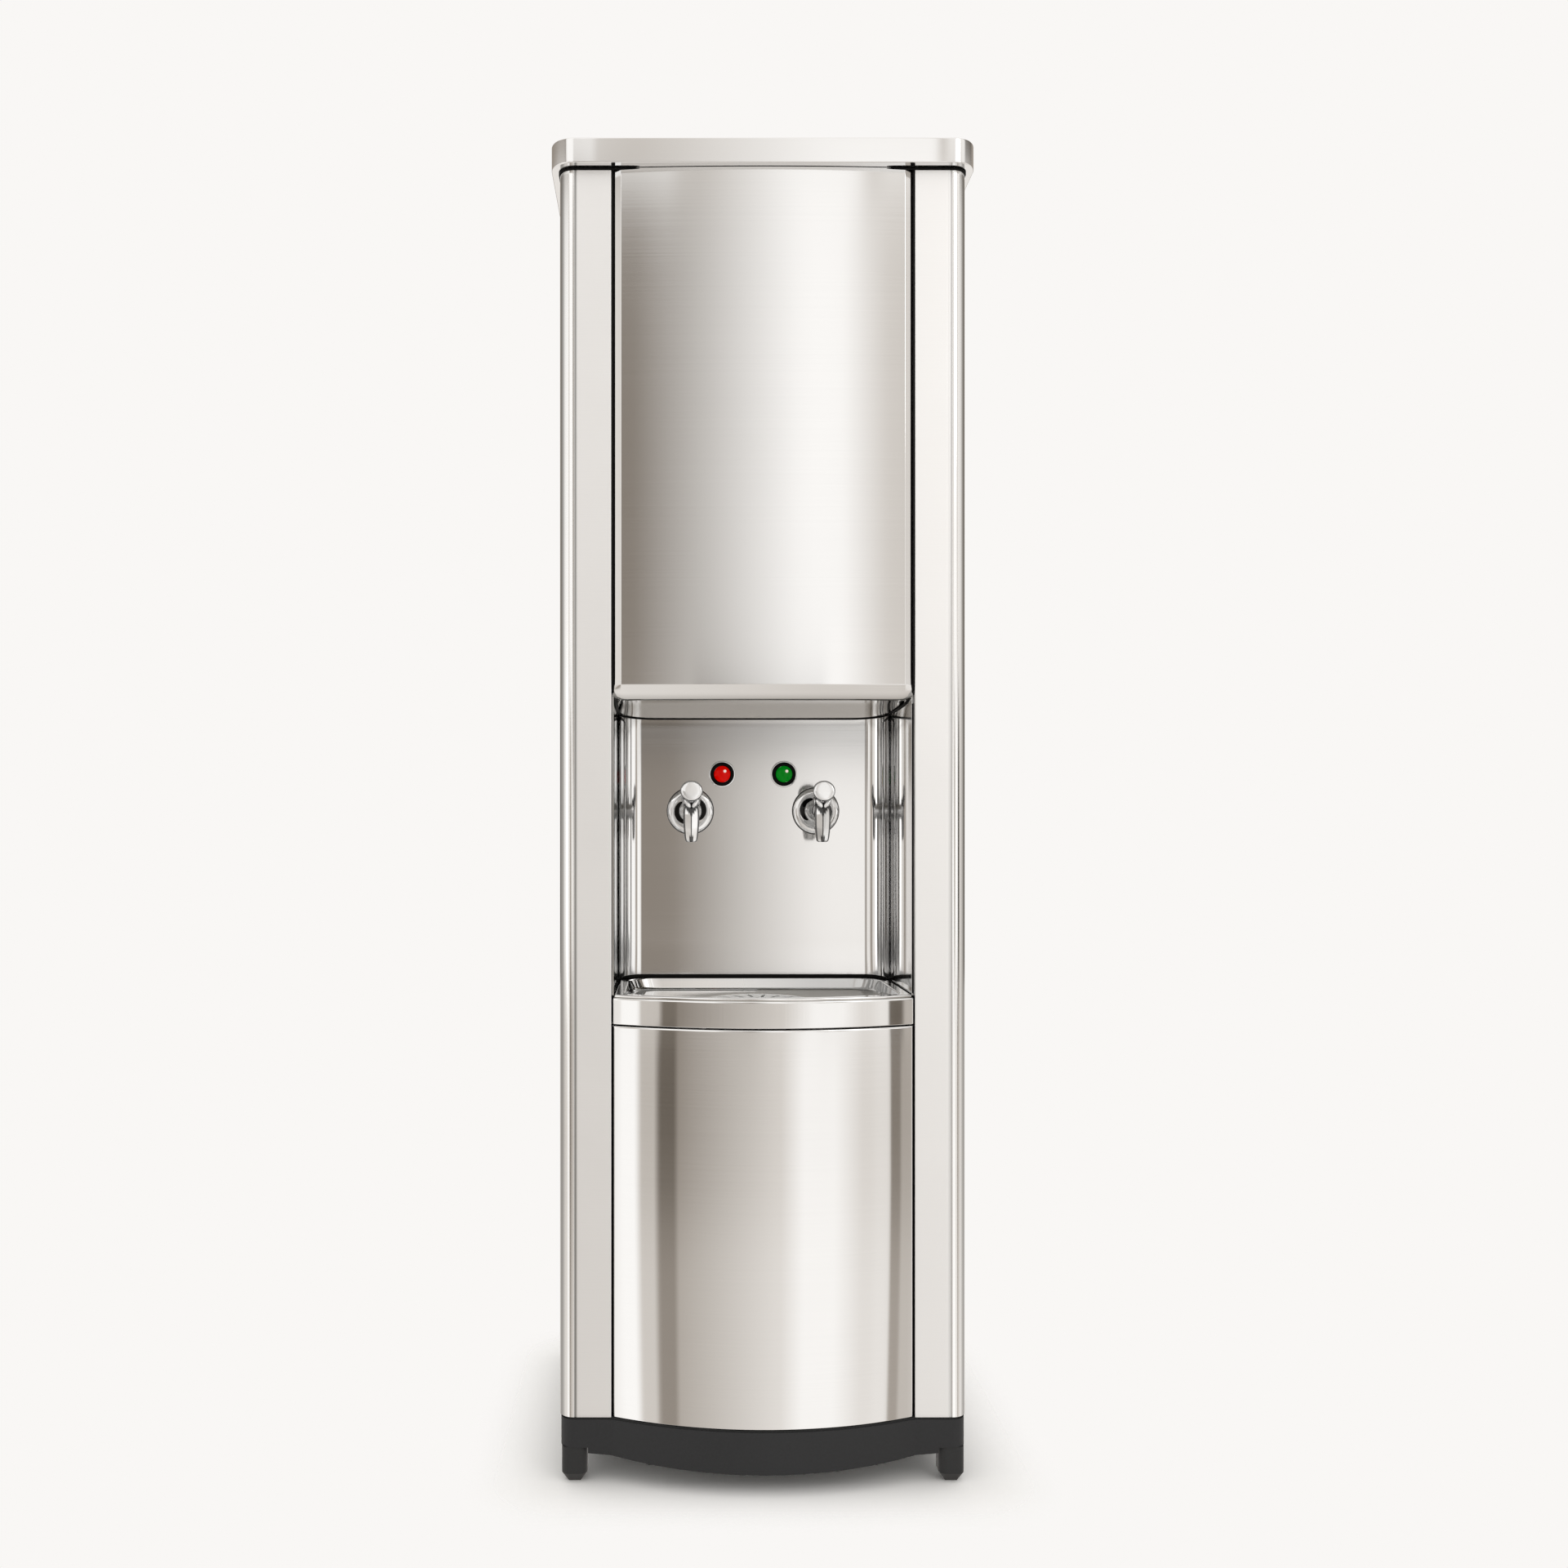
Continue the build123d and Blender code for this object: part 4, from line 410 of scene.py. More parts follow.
def thicken(verts, faces, depth):
    """Closed sheet: the given skin with a second skin at a depth behind it."""
    mesh = bpy.data.meshes.new("skin")
    mesh.from_pydata(verts, [], faces)
    mesh.update()
    normals = [tuple(v.normal) for v in mesh.vertices]
    bpy.data.meshes.remove(mesh)
    sides = {pair for face in faces for pair in zip(face, face[1:] + face[:1])}
    size = len(verts)
    back = [tuple(p - n * depth for p, n in zip(vert, normal)) for vert, normal in zip(verts, normals)]
    closed = list(faces) + [tuple(size + i for i in reversed(face)) for face in faces]
    for face in faces:
        for a, b in zip(face, face[1:] + face[:1]):
            if (b, a) not in sides:
                closed.append((b, a, size + a, size + b))
    return list(verts) + back, closed


def outline(half, front, bow, back, front_radius, rear_radius, side=10, corner=14, face=64, rear=24):
    """Closed plan ring: straight sides and back, bowed front, four round corners.

    It runs from the left side's rear end forwards, across the front, back along the
    right side and across the rear. Every ring has the same number of points.
    """
    rise = front_radius
    if bow:
        radius = (half * half + bow * bow) / (2 * bow)
        hub = front - bow + radius
        low = hub - sqrt((radius - rise) ** 2 - (half - rise) ** 2)
        turn = asin((half - rise) / (radius - rise))
    else:
        low = front + rise
        turn = 0.0

    def arc(x, y, r, start, sweep, last=corner):
        angles = [start + sweep * i / corner for i in range(last + 1)]
        return [(x + r * cos(angle), y + r * sin(angle)) for angle in angles]

    ring = []
    for i in range(side):
        ring.append((-half, back - rear_radius + (low - back + rear_radius) * (i / side)))
    ring += arc(-half + rise, low, rise, pi, pi / 2 - turn)
    for i in range(1, face):
        share = i / face
        if bow:
            angle = -turn + 2 * turn * share
            ring.append((radius * sin(angle), hub - radius * cos(angle)))
        else:
            ring.append((-half + rise + 2 * (half - rise) * share, front))
    ring += arc(half - rise, low, rise, -pi / 2 + turn, pi / 2 - turn)
    for i in range(1, side):
        ring.append((half, low + (back - rear_radius - low) * (i / side)))
    ring += arc(half - rear_radius, back - rear_radius, rear_radius, 0.0, pi / 2)
    for i in range(1, rear):
        ring.append((half - rear_radius - 2 * (half - rear_radius) * (i / rear), back))
    ring += arc(-half + rear_radius, back - rear_radius, rear_radius, pi / 2, pi / 2, last=corner - 1)
    return ring


def disc(section, centre, count):
    """Rows of points for a form turned about a line along y, from (radius, y) pairs."""
    x, z = centre
    angles = [2 * pi * i / count for i in range(count)]
    return [[(x + radius * cos(a), y, z + radius * sin(a)) for a in angles] for radius, y in section]


def tube_skin(path, radius, count=12):
    """Vertices and faces of a round bead along a path of points."""
    rows = []
    points = [Vector(p) for p in path]
    circle = [2 * pi * i / count for i in range(count)]
    for index, point in enumerate(points):
        ahead = points[min(index + 1, len(points) - 1)] - points[max(index - 1, 0)]
        ahead.normalize()
        side = ahead.cross(Vector((0.31, -0.2, 0.93)))
        if side.length < 0.2:
            side = ahead.cross(Vector((1, 0, 0)))
        side.normalize()
        over = ahead.cross(side)
        rows.append([tuple(point + side * (radius * cos(a)) + over * (radius * sin(a))) for a in circle])
    return closed_rows(rows)


# Sizes in mm, in the places of the frame
SIDES = (("left", -1), ("right", 1))
FRONT_Y = -167.0
OUTER_X = 200.0
HOOD_HALF = 147.5
HOOD_BOW = 4.0
HOOD_TOP_Z = 1287.5
HOOD_REAR_Y = 6.5
HOOD_REAR_RADIUS = 23.5
BEND_Z = 781.8
LIP_Z = 767.0
LIP_DEPTH = 7.9
CEILING_REAR_Z = 760.5
CEILING_DEPTH = 173.5
NICHE_HALF = 147.0
NICHE_CORNER = 24.5
NICHE_WALL_Y = 8.0
NICHE_FRONT_Y = -157.0
RIM_Z = 478.0
LOWER_HALF = 146.7
LOWER_BOW = 31.0
LOWER_TOP_Z = 447.8
PANEL_BOTTOM_Z = 64.0
PANEL_SHEET = 1.0


# Hood
# By depth from the front: how much the underside rises at its side edges, and how far
# from the middle the rise starts
UNDERSIDE = [
    (0.0, 0.0, 132.0), (8.0, 3.4, 134.0), (15.0, 4.2, 134.0), (30.0, 2.6, 130.0), (55.0, 1.2, 124.0),
    (94.0, 1.3, 118.0), (150.0, 3.2, 112.0), (CEILING_DEPTH, 3.2, 108.0),
]
# Painted shade by depth from the front: none on the face, full under the hood
HOOD_FOOT_SHADES = [(0.0, 0.0), (4.5, 0.0), (6.5, 0.24), (10.0, 1.0)]


def front_at(x, half, bow):
    radius = (half * half + bow * bow) / (2 * bow)
    return FRONT_Y - bow + radius - sqrt(radius * radius - x * x)


def lift(x, depth):
    """How much the hood's underside rises towards its side edges, by depth from the front."""
    rise, start = between(UNDERSIDE, max(0.0, min(depth, CEILING_DEPTH - 0.1)))
    past = max(0.0, (abs(x) - start) / (HOOD_HALF - start))
    return rise * past * past


def bowed_sheet(name, half, bow, columns, rows, blend, slot, node, rear=None, material=None, row_shades=None):
    """Sheet with a bowed front: its side and foot sections are joined by a soft mitre.

    A rear of (place, half width, corner radius) keeps the foot inside a rounded plan.
    """
    net = []
    for z, foot in rows:
        line = []
        for x, drop in columns:
            depth = (drop ** blend + foot ** blend) ** (1 / blend)
            y = front_at(x, half, bow) + depth
            if rear is not None:
                limit, rear_half, radius = rear
                over = abs(x) - (rear_half - radius)
                if over > 0:
                    limit = limit - radius + sqrt(max(radius ** 2 - min(over, radius) ** 2, 0))
                line.append((x, min(y, limit), z + lift(x, foot)))
            else:
                line.append((x, y, z))
        net.append(line)
    verts, faces = grid(net)
    verts, faces = thicken(verts, turned_back(faces), PANEL_SHEET)
    shades = None
    if row_shades is not None:
        shades = [value for value in row_shades for _ in columns] * 2
    piece(name, verts, faces, slot, (node,), sharp=40, material=material, shades=shades)


def columns_for(half, section, count):
    """Columns across a bowed sheet: (x, depth) from the left return to the right one."""
    left = [(-half + a, b) for a, b in section]
    start = left[-1][0]
    middle = [(start - start * 2 * i / count, 0.0) for i in range(1, count)]
    return left + middle + [(-x, b) for x, b in reversed(left)]


def hood():
    edge = soften([(0, 9.6, 0), (0, 2.9, 0.6), (8.4, 0, 1.2), (30, 0, 0)], 6, 0.3)
    edge = edge[:-1] + [(13, 0), (17, 0), (21, 0), (25, 0), (30, 0)]
    rows = soften([
        (HOOD_TOP_Z, 0, 0), (BEND_Z, 0, 1.2), (LIP_Z, LIP_DEPTH, 4.0), (CEILING_REAR_Z, CEILING_DEPTH, 0),
    ], 10, 0.4)
    slope = LIP_DEPTH / (BEND_Z - LIP_Z)
    chamfer = [(z, (BEND_Z - z) * slope) for z in (778.0, 775.0, 773.0, 771.5)]
    roll = next(i for i, (z, foot) in enumerate(rows) if z < 771.0)
    ceiling = [
        (767.3, 34.0), (766.0, 62.0), (764.5, 94.0), (763.4, 115.0), (761.8, 147.0), (761.3, 157.0),
        (760.9, 166.0), (CEILING_REAR_Z, CEILING_DEPTH),
    ]
    rows = rows[:1] + [(1000.0, 0.0)] + rows[1:roll] + chamfer + rows[roll:-1] + ceiling
    bowed_sheet("hood_skin", HOOD_HALF, HOOD_BOW, columns_for(HOOD_HALF, edge, 48), rows, 4.0,
                "hood_steel", "hood_panel", rear=(HOOD_REAR_Y, HOOD_HALF, HOOD_REAR_RADIUS),
                material=hood_steel_painted_shade, row_shades=[between(HOOD_FOOT_SHADES, foot)[0] for z, foot in rows])


hood()


# Lower panel
def lower_panel():
    edge = soften([(0, 24, 0), (0, 0.0, 1.5), (30, 0, 0)], 6, 0.3)
    edge = edge[:-1] + [(4, 0), (6, 0), (9, 0)]
    rows = soften([(LOWER_TOP_Z, 16, 0), (LOWER_TOP_Z, 0, 1.9), (PANEL_BOTTOM_Z, 0, 0)], 6, 0.4)
    foot = [(PANEL_BOTTOM_Z + 1.2, 0.0), (PANEL_BOTTOM_Z + 0.4, 0.1), (PANEL_BOTTOM_Z, 0.5)]
    bowed_sheet("lower_skin", LOWER_HALF, LOWER_BOW, columns_for(LOWER_HALF, edge, 120),
                rows[:-1] + [(300.0, 0.0)] + foot, 6.0, "lower_steel", "lower_panel")


lower_panel()

# Side panels
COLUMN_RADIUS = 14.4
COLUMN_SHEET = 0.9
# Strength of the painted shade line along each column's crease
LEFT_CREASE_SHADE = 0.66
RIGHT_CREASE_SHADE = 0.34
REAR_Y = 178.75
FLANGE_RADIUS = 2.0
COLUMN_LEVELS = [PANEL_BOTTOM_Z, PANEL_BOTTOM_Z + 0.5, 300.0, 600.0, 900.0, 1100.0, 1287.2, 1287.7]
# Painted shade round the column's corner, by degrees from the front
CORNER_SHADES = [(0, 0.0), (24, 0.03), (36, 0.14), (46, 0.5), (58, 0.72), (90, 0.5)]


def column_plans(crease, crease_start):
    """Plan of a right-hand side panel as (x, y, painted shade): its front, then its corner and side."""
    front = [
        (148.7, -112.0, 0.0), (148.7, -140.0, 0.0), (148.7, -160.0, 0.3), (148.7, -166.4, 0.5),
        (148.75, -166.7, 0.3), (148.9, -166.9, 0.0), (149.2, FRONT_Y, 0.0), (149.8, FRONT_Y, 0.0),
        (152.0, FRONT_Y, 0.0), (160.0, FRONT_Y, 0.0), (170.0, FRONT_Y, 0.0), (179.0, FRONT_Y, 0.0),
        (180.6, FRONT_Y, 0.0), (182.0, -166.95, crease_start), (183.1, -166.9, crease * 0.7),
        (184.0, -166.7, crease), (184.8, -166.8, crease),
    ]
    side = [(185.4, FRONT_Y, crease * 0.3)]
    for degrees in range(0, 91, 3):
        x = OUTER_X - COLUMN_RADIUS + COLUMN_RADIUS * sin(radians(degrees))
        y = FRONT_Y + COLUMN_RADIUS - COLUMN_RADIUS * cos(radians(degrees))
        side.append((x, y, between(CORNER_SHADES, degrees)[0]))
    side += [(OUTER_X, -146.0, 0.3), (OUTER_X, -130.0, 0.1)]
    side += [(OUTER_X, y, 0.0) for y in (-100.0, 0.0, 165.0, REAR_Y - FLANGE_RADIUS)]
    for degrees in range(15, 91, 15):
        x = OUTER_X - FLANGE_RADIUS + FLANGE_RADIUS * cos(radians(degrees))
        y = REAR_Y - FLANGE_RADIUS + FLANGE_RADIUS * sin(radians(degrees))
        side.append((x, y, 0.0))
    side += [(192.0, REAR_Y, 0.0), (184.0, REAR_Y, 0.0)]
    return front + side[:1], side


def column(side_name, sign):
    """Folded side panel: inner return, flat front, crease, round corner, side and rear return."""
    crease = LEFT_CREASE_SHADE if sign < 0 else RIGHT_CREASE_SHADE
    front, side = column_plans(crease, 0.0 if sign < 0 else crease * 0.4)
    parts = (
        ("face", column_steel_painted_shade, front, (f"{side_name}_side_panel",), 0.1),
        ("side", corner_steel_painted_shade, side, (), 0.0),
    )
    for part, material, plan, replaces, foot_shade in parts:
        net, shades = [], []
        for z in COLUMN_LEVELS:
            # Painted shade, darker towards the bottom of the column's face
            depth = foot_shade * unit((900.0 - z) / 700.0)
            net.append([(sign * x, y, z) for x, y, _ in plan])
            shades.extend(min(1.0, dark + depth) for _, _, dark in plan)
        verts, faces = grid(net)
        if sign < 0:
            faces = turned_back(faces)
        verts, faces = thicken(verts, faces, COLUMN_SHEET)
        piece(f"{side_name}_column_{part}", verts, faces, "side_steel", replaces, sharp=38,
              material=material, shades=shades * 2)


for side_name, sign in SIDES:
    column(side_name, sign)

# Niche shell
NICHE_SHEET = 1.2
NICHE_PLAN = soften([
    (-NICHE_HALF, NICHE_FRONT_Y, 0), (-NICHE_HALF, NICHE_WALL_Y, NICHE_CORNER),
    (NICHE_HALF, NICHE_WALL_Y, NICHE_CORNER), (NICHE_HALF, NICHE_FRONT_Y, 0),
], 48, 0.5)
# Height, and how far the back wall stands forward there
COVE = [
    (449.6, 1.6), (470.0, 1.6), (478.0, 1.35), (484.0, 1.0), (490.0, 0.65), (496.0, 0.36),
    (502.0, 0.16), (508.0, 0.04), (516.0, 0.0), (600.0, 0.0), (787.6, 0.0),
]


def wall_turn(x, y):
    """Outward direction of the niche's plan: (1 or -1, 0) on a side wall, (0, 1) on the back wall."""
    over_x = max(abs(x) - (NICHE_HALF - NICHE_CORNER), 0.0)
    over_y = max(y - (NICHE_WALL_Y - NICHE_CORNER), 0.0)
    size = hypot(over_x, over_y) or 1.0
    return (over_x / size) * (1 if x > 0 else -1), over_y / size


def niche():
    net = [[(x, y - inset * wall_turn(x, y)[1], z) for x, y in NICHE_PLAN] for z, inset in COVE]
    verts, faces = thicken(*grid(net), NICHE_SHEET)
    piece("niche_skin", verts, faces, "niche_steel", ("niche_shell",), sharp=40)


niche()


# Dark beads and strips in the gaps between parts: painted shadow
def shadow_bead(name, verts, faces, slot, sharp=60):
    return piece(name, verts, faces, slot, material=gap_shadow_fill, sharp=sharp)


def mirrored(path):
    """Path from the left to the middle, carried on to the right."""
    return path + [(-x, y, z) for x, y, z in reversed(path[:-1])]


def under_z(x, depth):
    """Height of the hood's underside."""
    front_z, front_depth, fall = 766.7, 12.0, 6.2
    return front_z - fall * (depth - front_depth) / (CEILING_DEPTH - front_depth) + lift(x, depth)


def ceiling_shadow_bead():
    """Dark bead down the hood's side edges and round its underside, a painted shadow in the gap."""
    edge_x, corner_y, radius = 146.3, -17.5, 23.6
    path = [
        (-147.9, -166.4, 1287), (-147.9, -166.4, 900), (-147.9, -166.4, 800), (-147.8, -166.3, 790),
        (-147.7, -166.0, 783), (-147.5, -164.8, 778.5), (-147.2, -162.2, 775.4), (-146.9, -158.6, 773.4),
        (-146.6, -154.0, 772.0), (-146.4, -148.0, 770.8), (-edge_x, -140.0, 769.6),
    ]
    for depth in (36, 48, 60, 75, 90, 105, 120, 135, 148):
        path.append((-edge_x, FRONT_Y + depth, under_z(edge_x, depth)))
    for degrees in range(6, 91, 6):
        x = -edge_x + radius * (1 - cos(radians(degrees)))
        y = corner_y + radius * sin(radians(degrees))
        path.append((x, y, under_z(x, y - FRONT_Y)))
    path += [(x, 6.4, under_z(x, CEILING_DEPTH - 0.1)) for x in range(-120, 1, 6)]
    shadow_bead("ceiling_shadow_bead", *tube_skin(mirrored(path), 1.1), "hood_steel")


def foot_shadow_bead():
    """Dark strip where the niche's walls meet the basin's ledge, taller on the back wall: a painted shadow.
    """
    net = []
    for out, edge in ((0.1, 0), (1.2, 0), (1.6, 0.5), (1.6, 3), (1.2, 4), (0.1, 4)):
        line = []
        for x, y in NICHE_PLAN:
            across, back = wall_turn(x, y)
            ledge = RIM_Z - 3.0 * (y - FRONT_Y) / CEILING_DEPTH
            low = ledge - 0.4
            high = ledge + 0.1 + 4.2 * back
            thin = 0.06 + 0.94 * back
            z = low + (high - low) * edge / 4
            line.append((x - across * out * thin, y - back * (out * thin + 1.4), z))
        net.append(line)
    verts, faces = grid(net)
    shadow_bead("foot_shadow_bead", *thicken(verts, turned_back(faces), 0.05), "niche_steel", 50)


def strip(name, low, high, slot, edge=0.4):
    """Straight dark strip with eased long edges, a painted shadow in a gap."""
    (x0, y0, z0), (x1, y1, z1) = low, high
    ring = [
        (x0 + edge, y0), (x1 - edge, y0), (x1, y0 + edge), (x1, y1 - edge),
        (x1 - edge, y1), (x0 + edge, y1), (x0, y1 - edge), (x0, y0 + edge),
    ]
    verts, faces = closed_rows([[(a, b, z) for a, b in ring] for z in (z0, z1)])
    mend_normals(shadow_bead(name, verts, faces, slot, 50))


def lid_shadow_bead():
    """Dark bead under the cap, a painted shadow, from the left side round the front to the right side."""
    out = 0.2
    z = 1286.9
    radius = COLUMN_RADIUS + out
    path = [(-OUTER_X - out, y, z) for y in (150, 60, -60, -140, FRONT_Y + COLUMN_RADIUS)]
    for degrees in range(6, 91, 6):
        x = COLUMN_RADIUS - OUTER_X - radius * cos(radians(degrees))
        path.append((x, FRONT_Y + COLUMN_RADIUS - radius * sin(radians(degrees)), z))
    path += [(x, FRONT_Y - out, z) for x in range(-184, 1, 8)]
    shadow_bead("lid_shadow_bead", *tube_skin(mirrored(path), 1.15), "side_steel")


ceiling_shadow_bead()
foot_shadow_bead()
for side_name, sign in SIDES:
    inside, outside = sorted((sign * 146.6, sign * 148.6))
    for part, front, rear, low, high, slot in (
        ("lower", -162.0, -150.0, 66.0, 447.0, "lower_steel"),
        ("band", -160.0, -158.0, 450.0, 476.0, "basin_steel"),
        ("hood", -160.0, -150.0, 792.0, 1286.0, "hood_steel"),
    ):
        strip(f"gap_strip_{part}_{side_name}", (inside, front, low), (outside, rear, high), slot)
# Dark bead along the niche's front edge: painted shadow in the gap
niche_edge = [(147.8, -157.2, z) for z in (478.4, 560, 640, 700, 740, 764)]
shadow_bead("niche_edge", *tube_skin(niche_edge, 0.42), "niche_steel")
lid_shadow_bead()

# Drip basin
BASIN_HALF = 147.4
BASIN_BOW = 31.5
BASIN_REAR_Y = 5.6
BASIN_SHEET = 0.7
LEDGE = 11.5
LEDGE_FRONT = 8.0
LEDGE_REAR = 2.6
FLOOR_Z = 463.6
STRAINER_Y = -97.0
# The basin's wall as (inset, height, radius): up the outside, over the rim, down to the floor
BASIN_WALL = [
    (0.9, 449.2, 0), (0.0, 449.2, 0.5), (0.0, 475.2, 1.7), (1.9, 475.2, 0), (1.9, RIM_Z, 1.3),
    (LEDGE, RIM_Z, 1.2), (LEDGE + 3.2, FLOOR_Z, 3.5), (40, FLOOR_Z, 0),
]
# Radius and height, from the floor down into the cup round the strainer
CUP = [
    (70.0, 463.5), (62.0, 463.4), (59.4, 463.3), (58.7, 462.8), (58.5, 461.5), (54.0, 461.4),
    (54.0, 450.0), (53.0, 449.4), (12.0, 449.2),
]


def basin_ring(inset, z):
    """Ring of the basin: the ledge is broad at the sides and narrow at the rear."""
    past = max(inset - LEDGE, 0.0)
    share = min(inset, LEDGE) / LEDGE
    front_y = FRONT_Y + (LEDGE_FRONT * share + past)
    rear_y = BASIN_REAR_Y - (LEDGE_REAR * share + past)
    front_radius, rear_radius = (2.6 - min(inset, 1.8), 23.5) if share < 0.5 else (20.0, 25.0)
    ring = outline(BASIN_HALF - inset, front_y, BASIN_BOW, rear_y, front_radius, rear_radius)
    lean = 3.0 if z > 474 else 3.0 * max(z - 466.0, 0.0) / 8.0 if inset > 1 else 0.0
    return [(x, y, z - lean * max(y - FRONT_Y, 0.0) / CEILING_DEPTH) for x, y in ring]


def circle_ring(radius, z, like):
    """Ring round the strainer with a point for each point of another ring."""
    angles = [atan2(y - STRAINER_Y, x) for x, y, _ in like]
    return [(radius * cos(angle), STRAINER_Y + radius * sin(angle), z) for angle in angles]


# Painted shade on the basin's floor towards the rear, painted light towards its front
def floor_shade(y):
    return max(-1.0, min(1.0, (y + 85.0) / 14.0))


def basin_shade(inset, level, x, y):
    """Shade of a point of the basin's wall: painted shade above 0, painted light below it."""
    if inset > 10 and y > -40 and level > FLOOR_Z + 0.3:
        return -0.8 * unit((x + 60.0) / 120.0)
    if inset > 10 and level < FLOOR_Z + 1.6:
        return floor_shade(y) if x > 0 else -1.0
    if inset > 10 and level < RIM_Z - 1.0 and y < -100:
        return -1.0
    if 1.0 < inset < 2.0 and 474.6 < level < 475.8:
        return 1.0
    if 3.0 < inset < 11.0 and level > 475 and abs(x) > 130:
        return 0.45
    return 0.0


def basin():
    rings, shades = [], []
    for inset, level in soften(BASIN_WALL, 7, 0.25)[:-1]:
        rings.append(basin_ring(inset, level))
        shades.extend(basin_shade(inset, level, x, y) for x, y, _ in rings[-1])
    floor_edge = rings[-1]
    for radius, z in CUP:
        rings.append(circle_ring(radius, z, floor_edge))
        shades.extend(floor_shade(y) for _, y, _ in rings[-1])
    verts, faces = thicken(*grid(rings, wrap=True), BASIN_SHEET)
    piece("basin_skin", verts, faces, "basin_steel", ("basin",), sharp=42, shades=shades * 2)


basin()


# Top cap
def cap():
    foot, lip, top = 1289.2, 1288.0, 1312.4
    half, front, rear, corner = 208.0, -179.0, 186.0, 24.0
    section = soften([
        (1.2, 1310.6, 0), (1.2, foot, 0), (15.0, foot, 0), (15.0, lip, 0), (0.0, lip, 0.9),
        (0.0, top, 1.3), (14.0, top, 0),
    ], 5, 0.2)
    rings = []
    for inset, z in section:
        radius = max(corner - inset, 2.0)
        ring = outline(half - inset, front + inset, 0, rear - inset, radius, radius, face=16)
        rings.append([(x, y, z) for x, y in ring])
    verts, faces = closed_rows(rings)
    mend_normals(piece("cap_skin", verts, faces, "cap_steel", ("top_cap",), 40, "cap"), 40)


cap()


# Taps and lamps
TAP_X = 69.0
TAP_Z = 659.0
SPOUT_Y = -61.0
HUB_Y = -57.0
HUB_Z = 668.0
LAMP_X = 34.0
LAMP_Z = 699.5
RING_POINTS = 120
HUB_POINTS = 36
PAD_POINTS = 64
ARM_POINTS = 32
LAMP_POINTS = 72


def join(parts):
    """One list of vertices, faces and shades from several."""
    verts, faces, shades = [], [], []
    for more_verts, more_faces, more_shades in parts:
        start = len(verts)
        verts.extend(more_verts)
        faces.extend(tuple(start + i for i in face) for face in more_faces)
        shades.extend(more_shades)
    return verts, faces, shades


def facing(verts, faces, low=0.22, high=0.46):
    """Painted dark reflection of each point of chrome: 1 where it turns away from the front, 0 where it faces
    it.
    """
    mesh = bpy.data.meshes.new("probe")
    mesh.from_pydata(verts, [], faces)
    turn_outwards(mesh)
    values = [unit((high + vertex.normal.y) / (high - low)) for vertex in mesh.vertices]
    bpy.data.meshes.remove(mesh)
    return values


def egg(centre, axes, lean, count=28, rings=16):
    """Smooth lobe leaning in the plane of the front."""
    rows = []
    for j in range(1, rings):
        up = -pi / 2 + pi * j / rings
        row = []
        for i in range(count):
            around = 2 * pi * i / count
            a, b, c = axes[0] * cos(up) * cos(around), axes[1] * cos(up) * sin(around), axes[2] * sin(up)
            x = centre[0] + a * cos(lean) - c * sin(lean)
            z = centre[2] + a * sin(lean) + c * cos(lean)
            row.append((x, centre[1] + b, z))
        rows.append(row)
    return closed_rows(rows)


# Turned part of the tap on the wall, as (radius, y) pairs: flange, its groove and the neck
TAP_SECTION = [
    (26.0, 7.9), (26.0, 7.0), (25.6, 6.3), (25.0, 5.6), (24.2, 5.0), (22.0, 4.2), (20.4, 3.7),
    (19.0, 3.6), (18.2, 4.0), (17.8, 4.6),
]
TAP_SECTION += [(17.5 - 0.35 * i, 4.9) for i in range(15)]
TAP_SECTION += [
    (12.3, 4.4), (12.1, 2.6), (11.6, 1.9), (10.8, 1.6), (10.2, 1.0), (9.9, -1.0), (9.4, -6.0),
    (8.9, -16.0), (8.7, -30.0), (8.9, -44.0), (9.0, -54.0),
]
# Plan of the spout from its front ridge round one side, and its scale by height
RIDGE_Y = -8.4
SPOUT_SLOPE = 2.5 / 8.2
SPOUT_FRONT = (0.0, 0.4, 0.75, 1.6, 2.4, 2.8, 3.6, 4.6, 5.6, 6.3, 6.6)
SPOUT_HALF = [(a, RIDGE_Y + a * SPOUT_SLOPE) for a in SPOUT_FRONT]
SPOUT_HALF += soften([
    (0.0, RIDGE_Y, 0), (8.2, -5.9, 1.2), (8.2, 3.0, 3.0), (4.0, 8.0, 2.0), (0.0, 8.0, 0),
], 5, 0.3)[1:]
SPOUT_PLAN = SPOUT_HALF + [(-a, b) for a, b in reversed(SPOUT_HALF[1:-1])]
SPOUT_LEVELS = [
    (667.5, 0.62), (666.5, 0.74), (664.5, 0.84), (662.0, 0.92), (659.5, 0.97), (657.0, 1.0),
    (654.5, 1.02), (652.0, 1.03), (648.0, 1.02), (643.0, 0.99), (638.0, 0.94), (634.0, 0.89),
    (631.0, 0.84), (629.0, 0.79), (627.4, 0.73), (626.4, 0.62), (626.0, 0.5),
]


def flange_shade(radius, place, angle, sign):
    """Painted shade of the turned part: painted shadow at the rim, painted reflections as dark lens shapes in
    the groove, and a darker underside.
    """
    if radius > 25.2:
        return 1.0
    if radius > 24.9:
        return 0.6
    if 12.4 < radius < 18.0:
        side_on = abs(cos(angle + 0.25 * sign)) - 0.42
        if side_on <= 0:
            return 0.25
        return unit((12.6 + 5.2 * side_on ** 0.5 / 0.76 - radius) / 0.5 + 0.5)
    if place < 0.5:
        return 0.25 + 0.5 * abs(sin(angle)) if sin(angle) < 0 else 0.15
    return 0.0


def spout_shade(a, b, z):
    """Painted dark reflections on the spout: along its front ridge, in a heart above it and on both sides."""
    ridge = abs(a)
    if b >= -5:
        return 0.9 if b < 2.5 else 0.15
    if z < 631.5 and ridge < 2.6:
        return 0.9
    if z > 653.4 and ridge < (z - 653.5) / 9.0 * 7.6:
        return 0.95
    if ridge > 6.5:
        return 0.85
    return 0.9 if ridge < 0.6 else 0.0


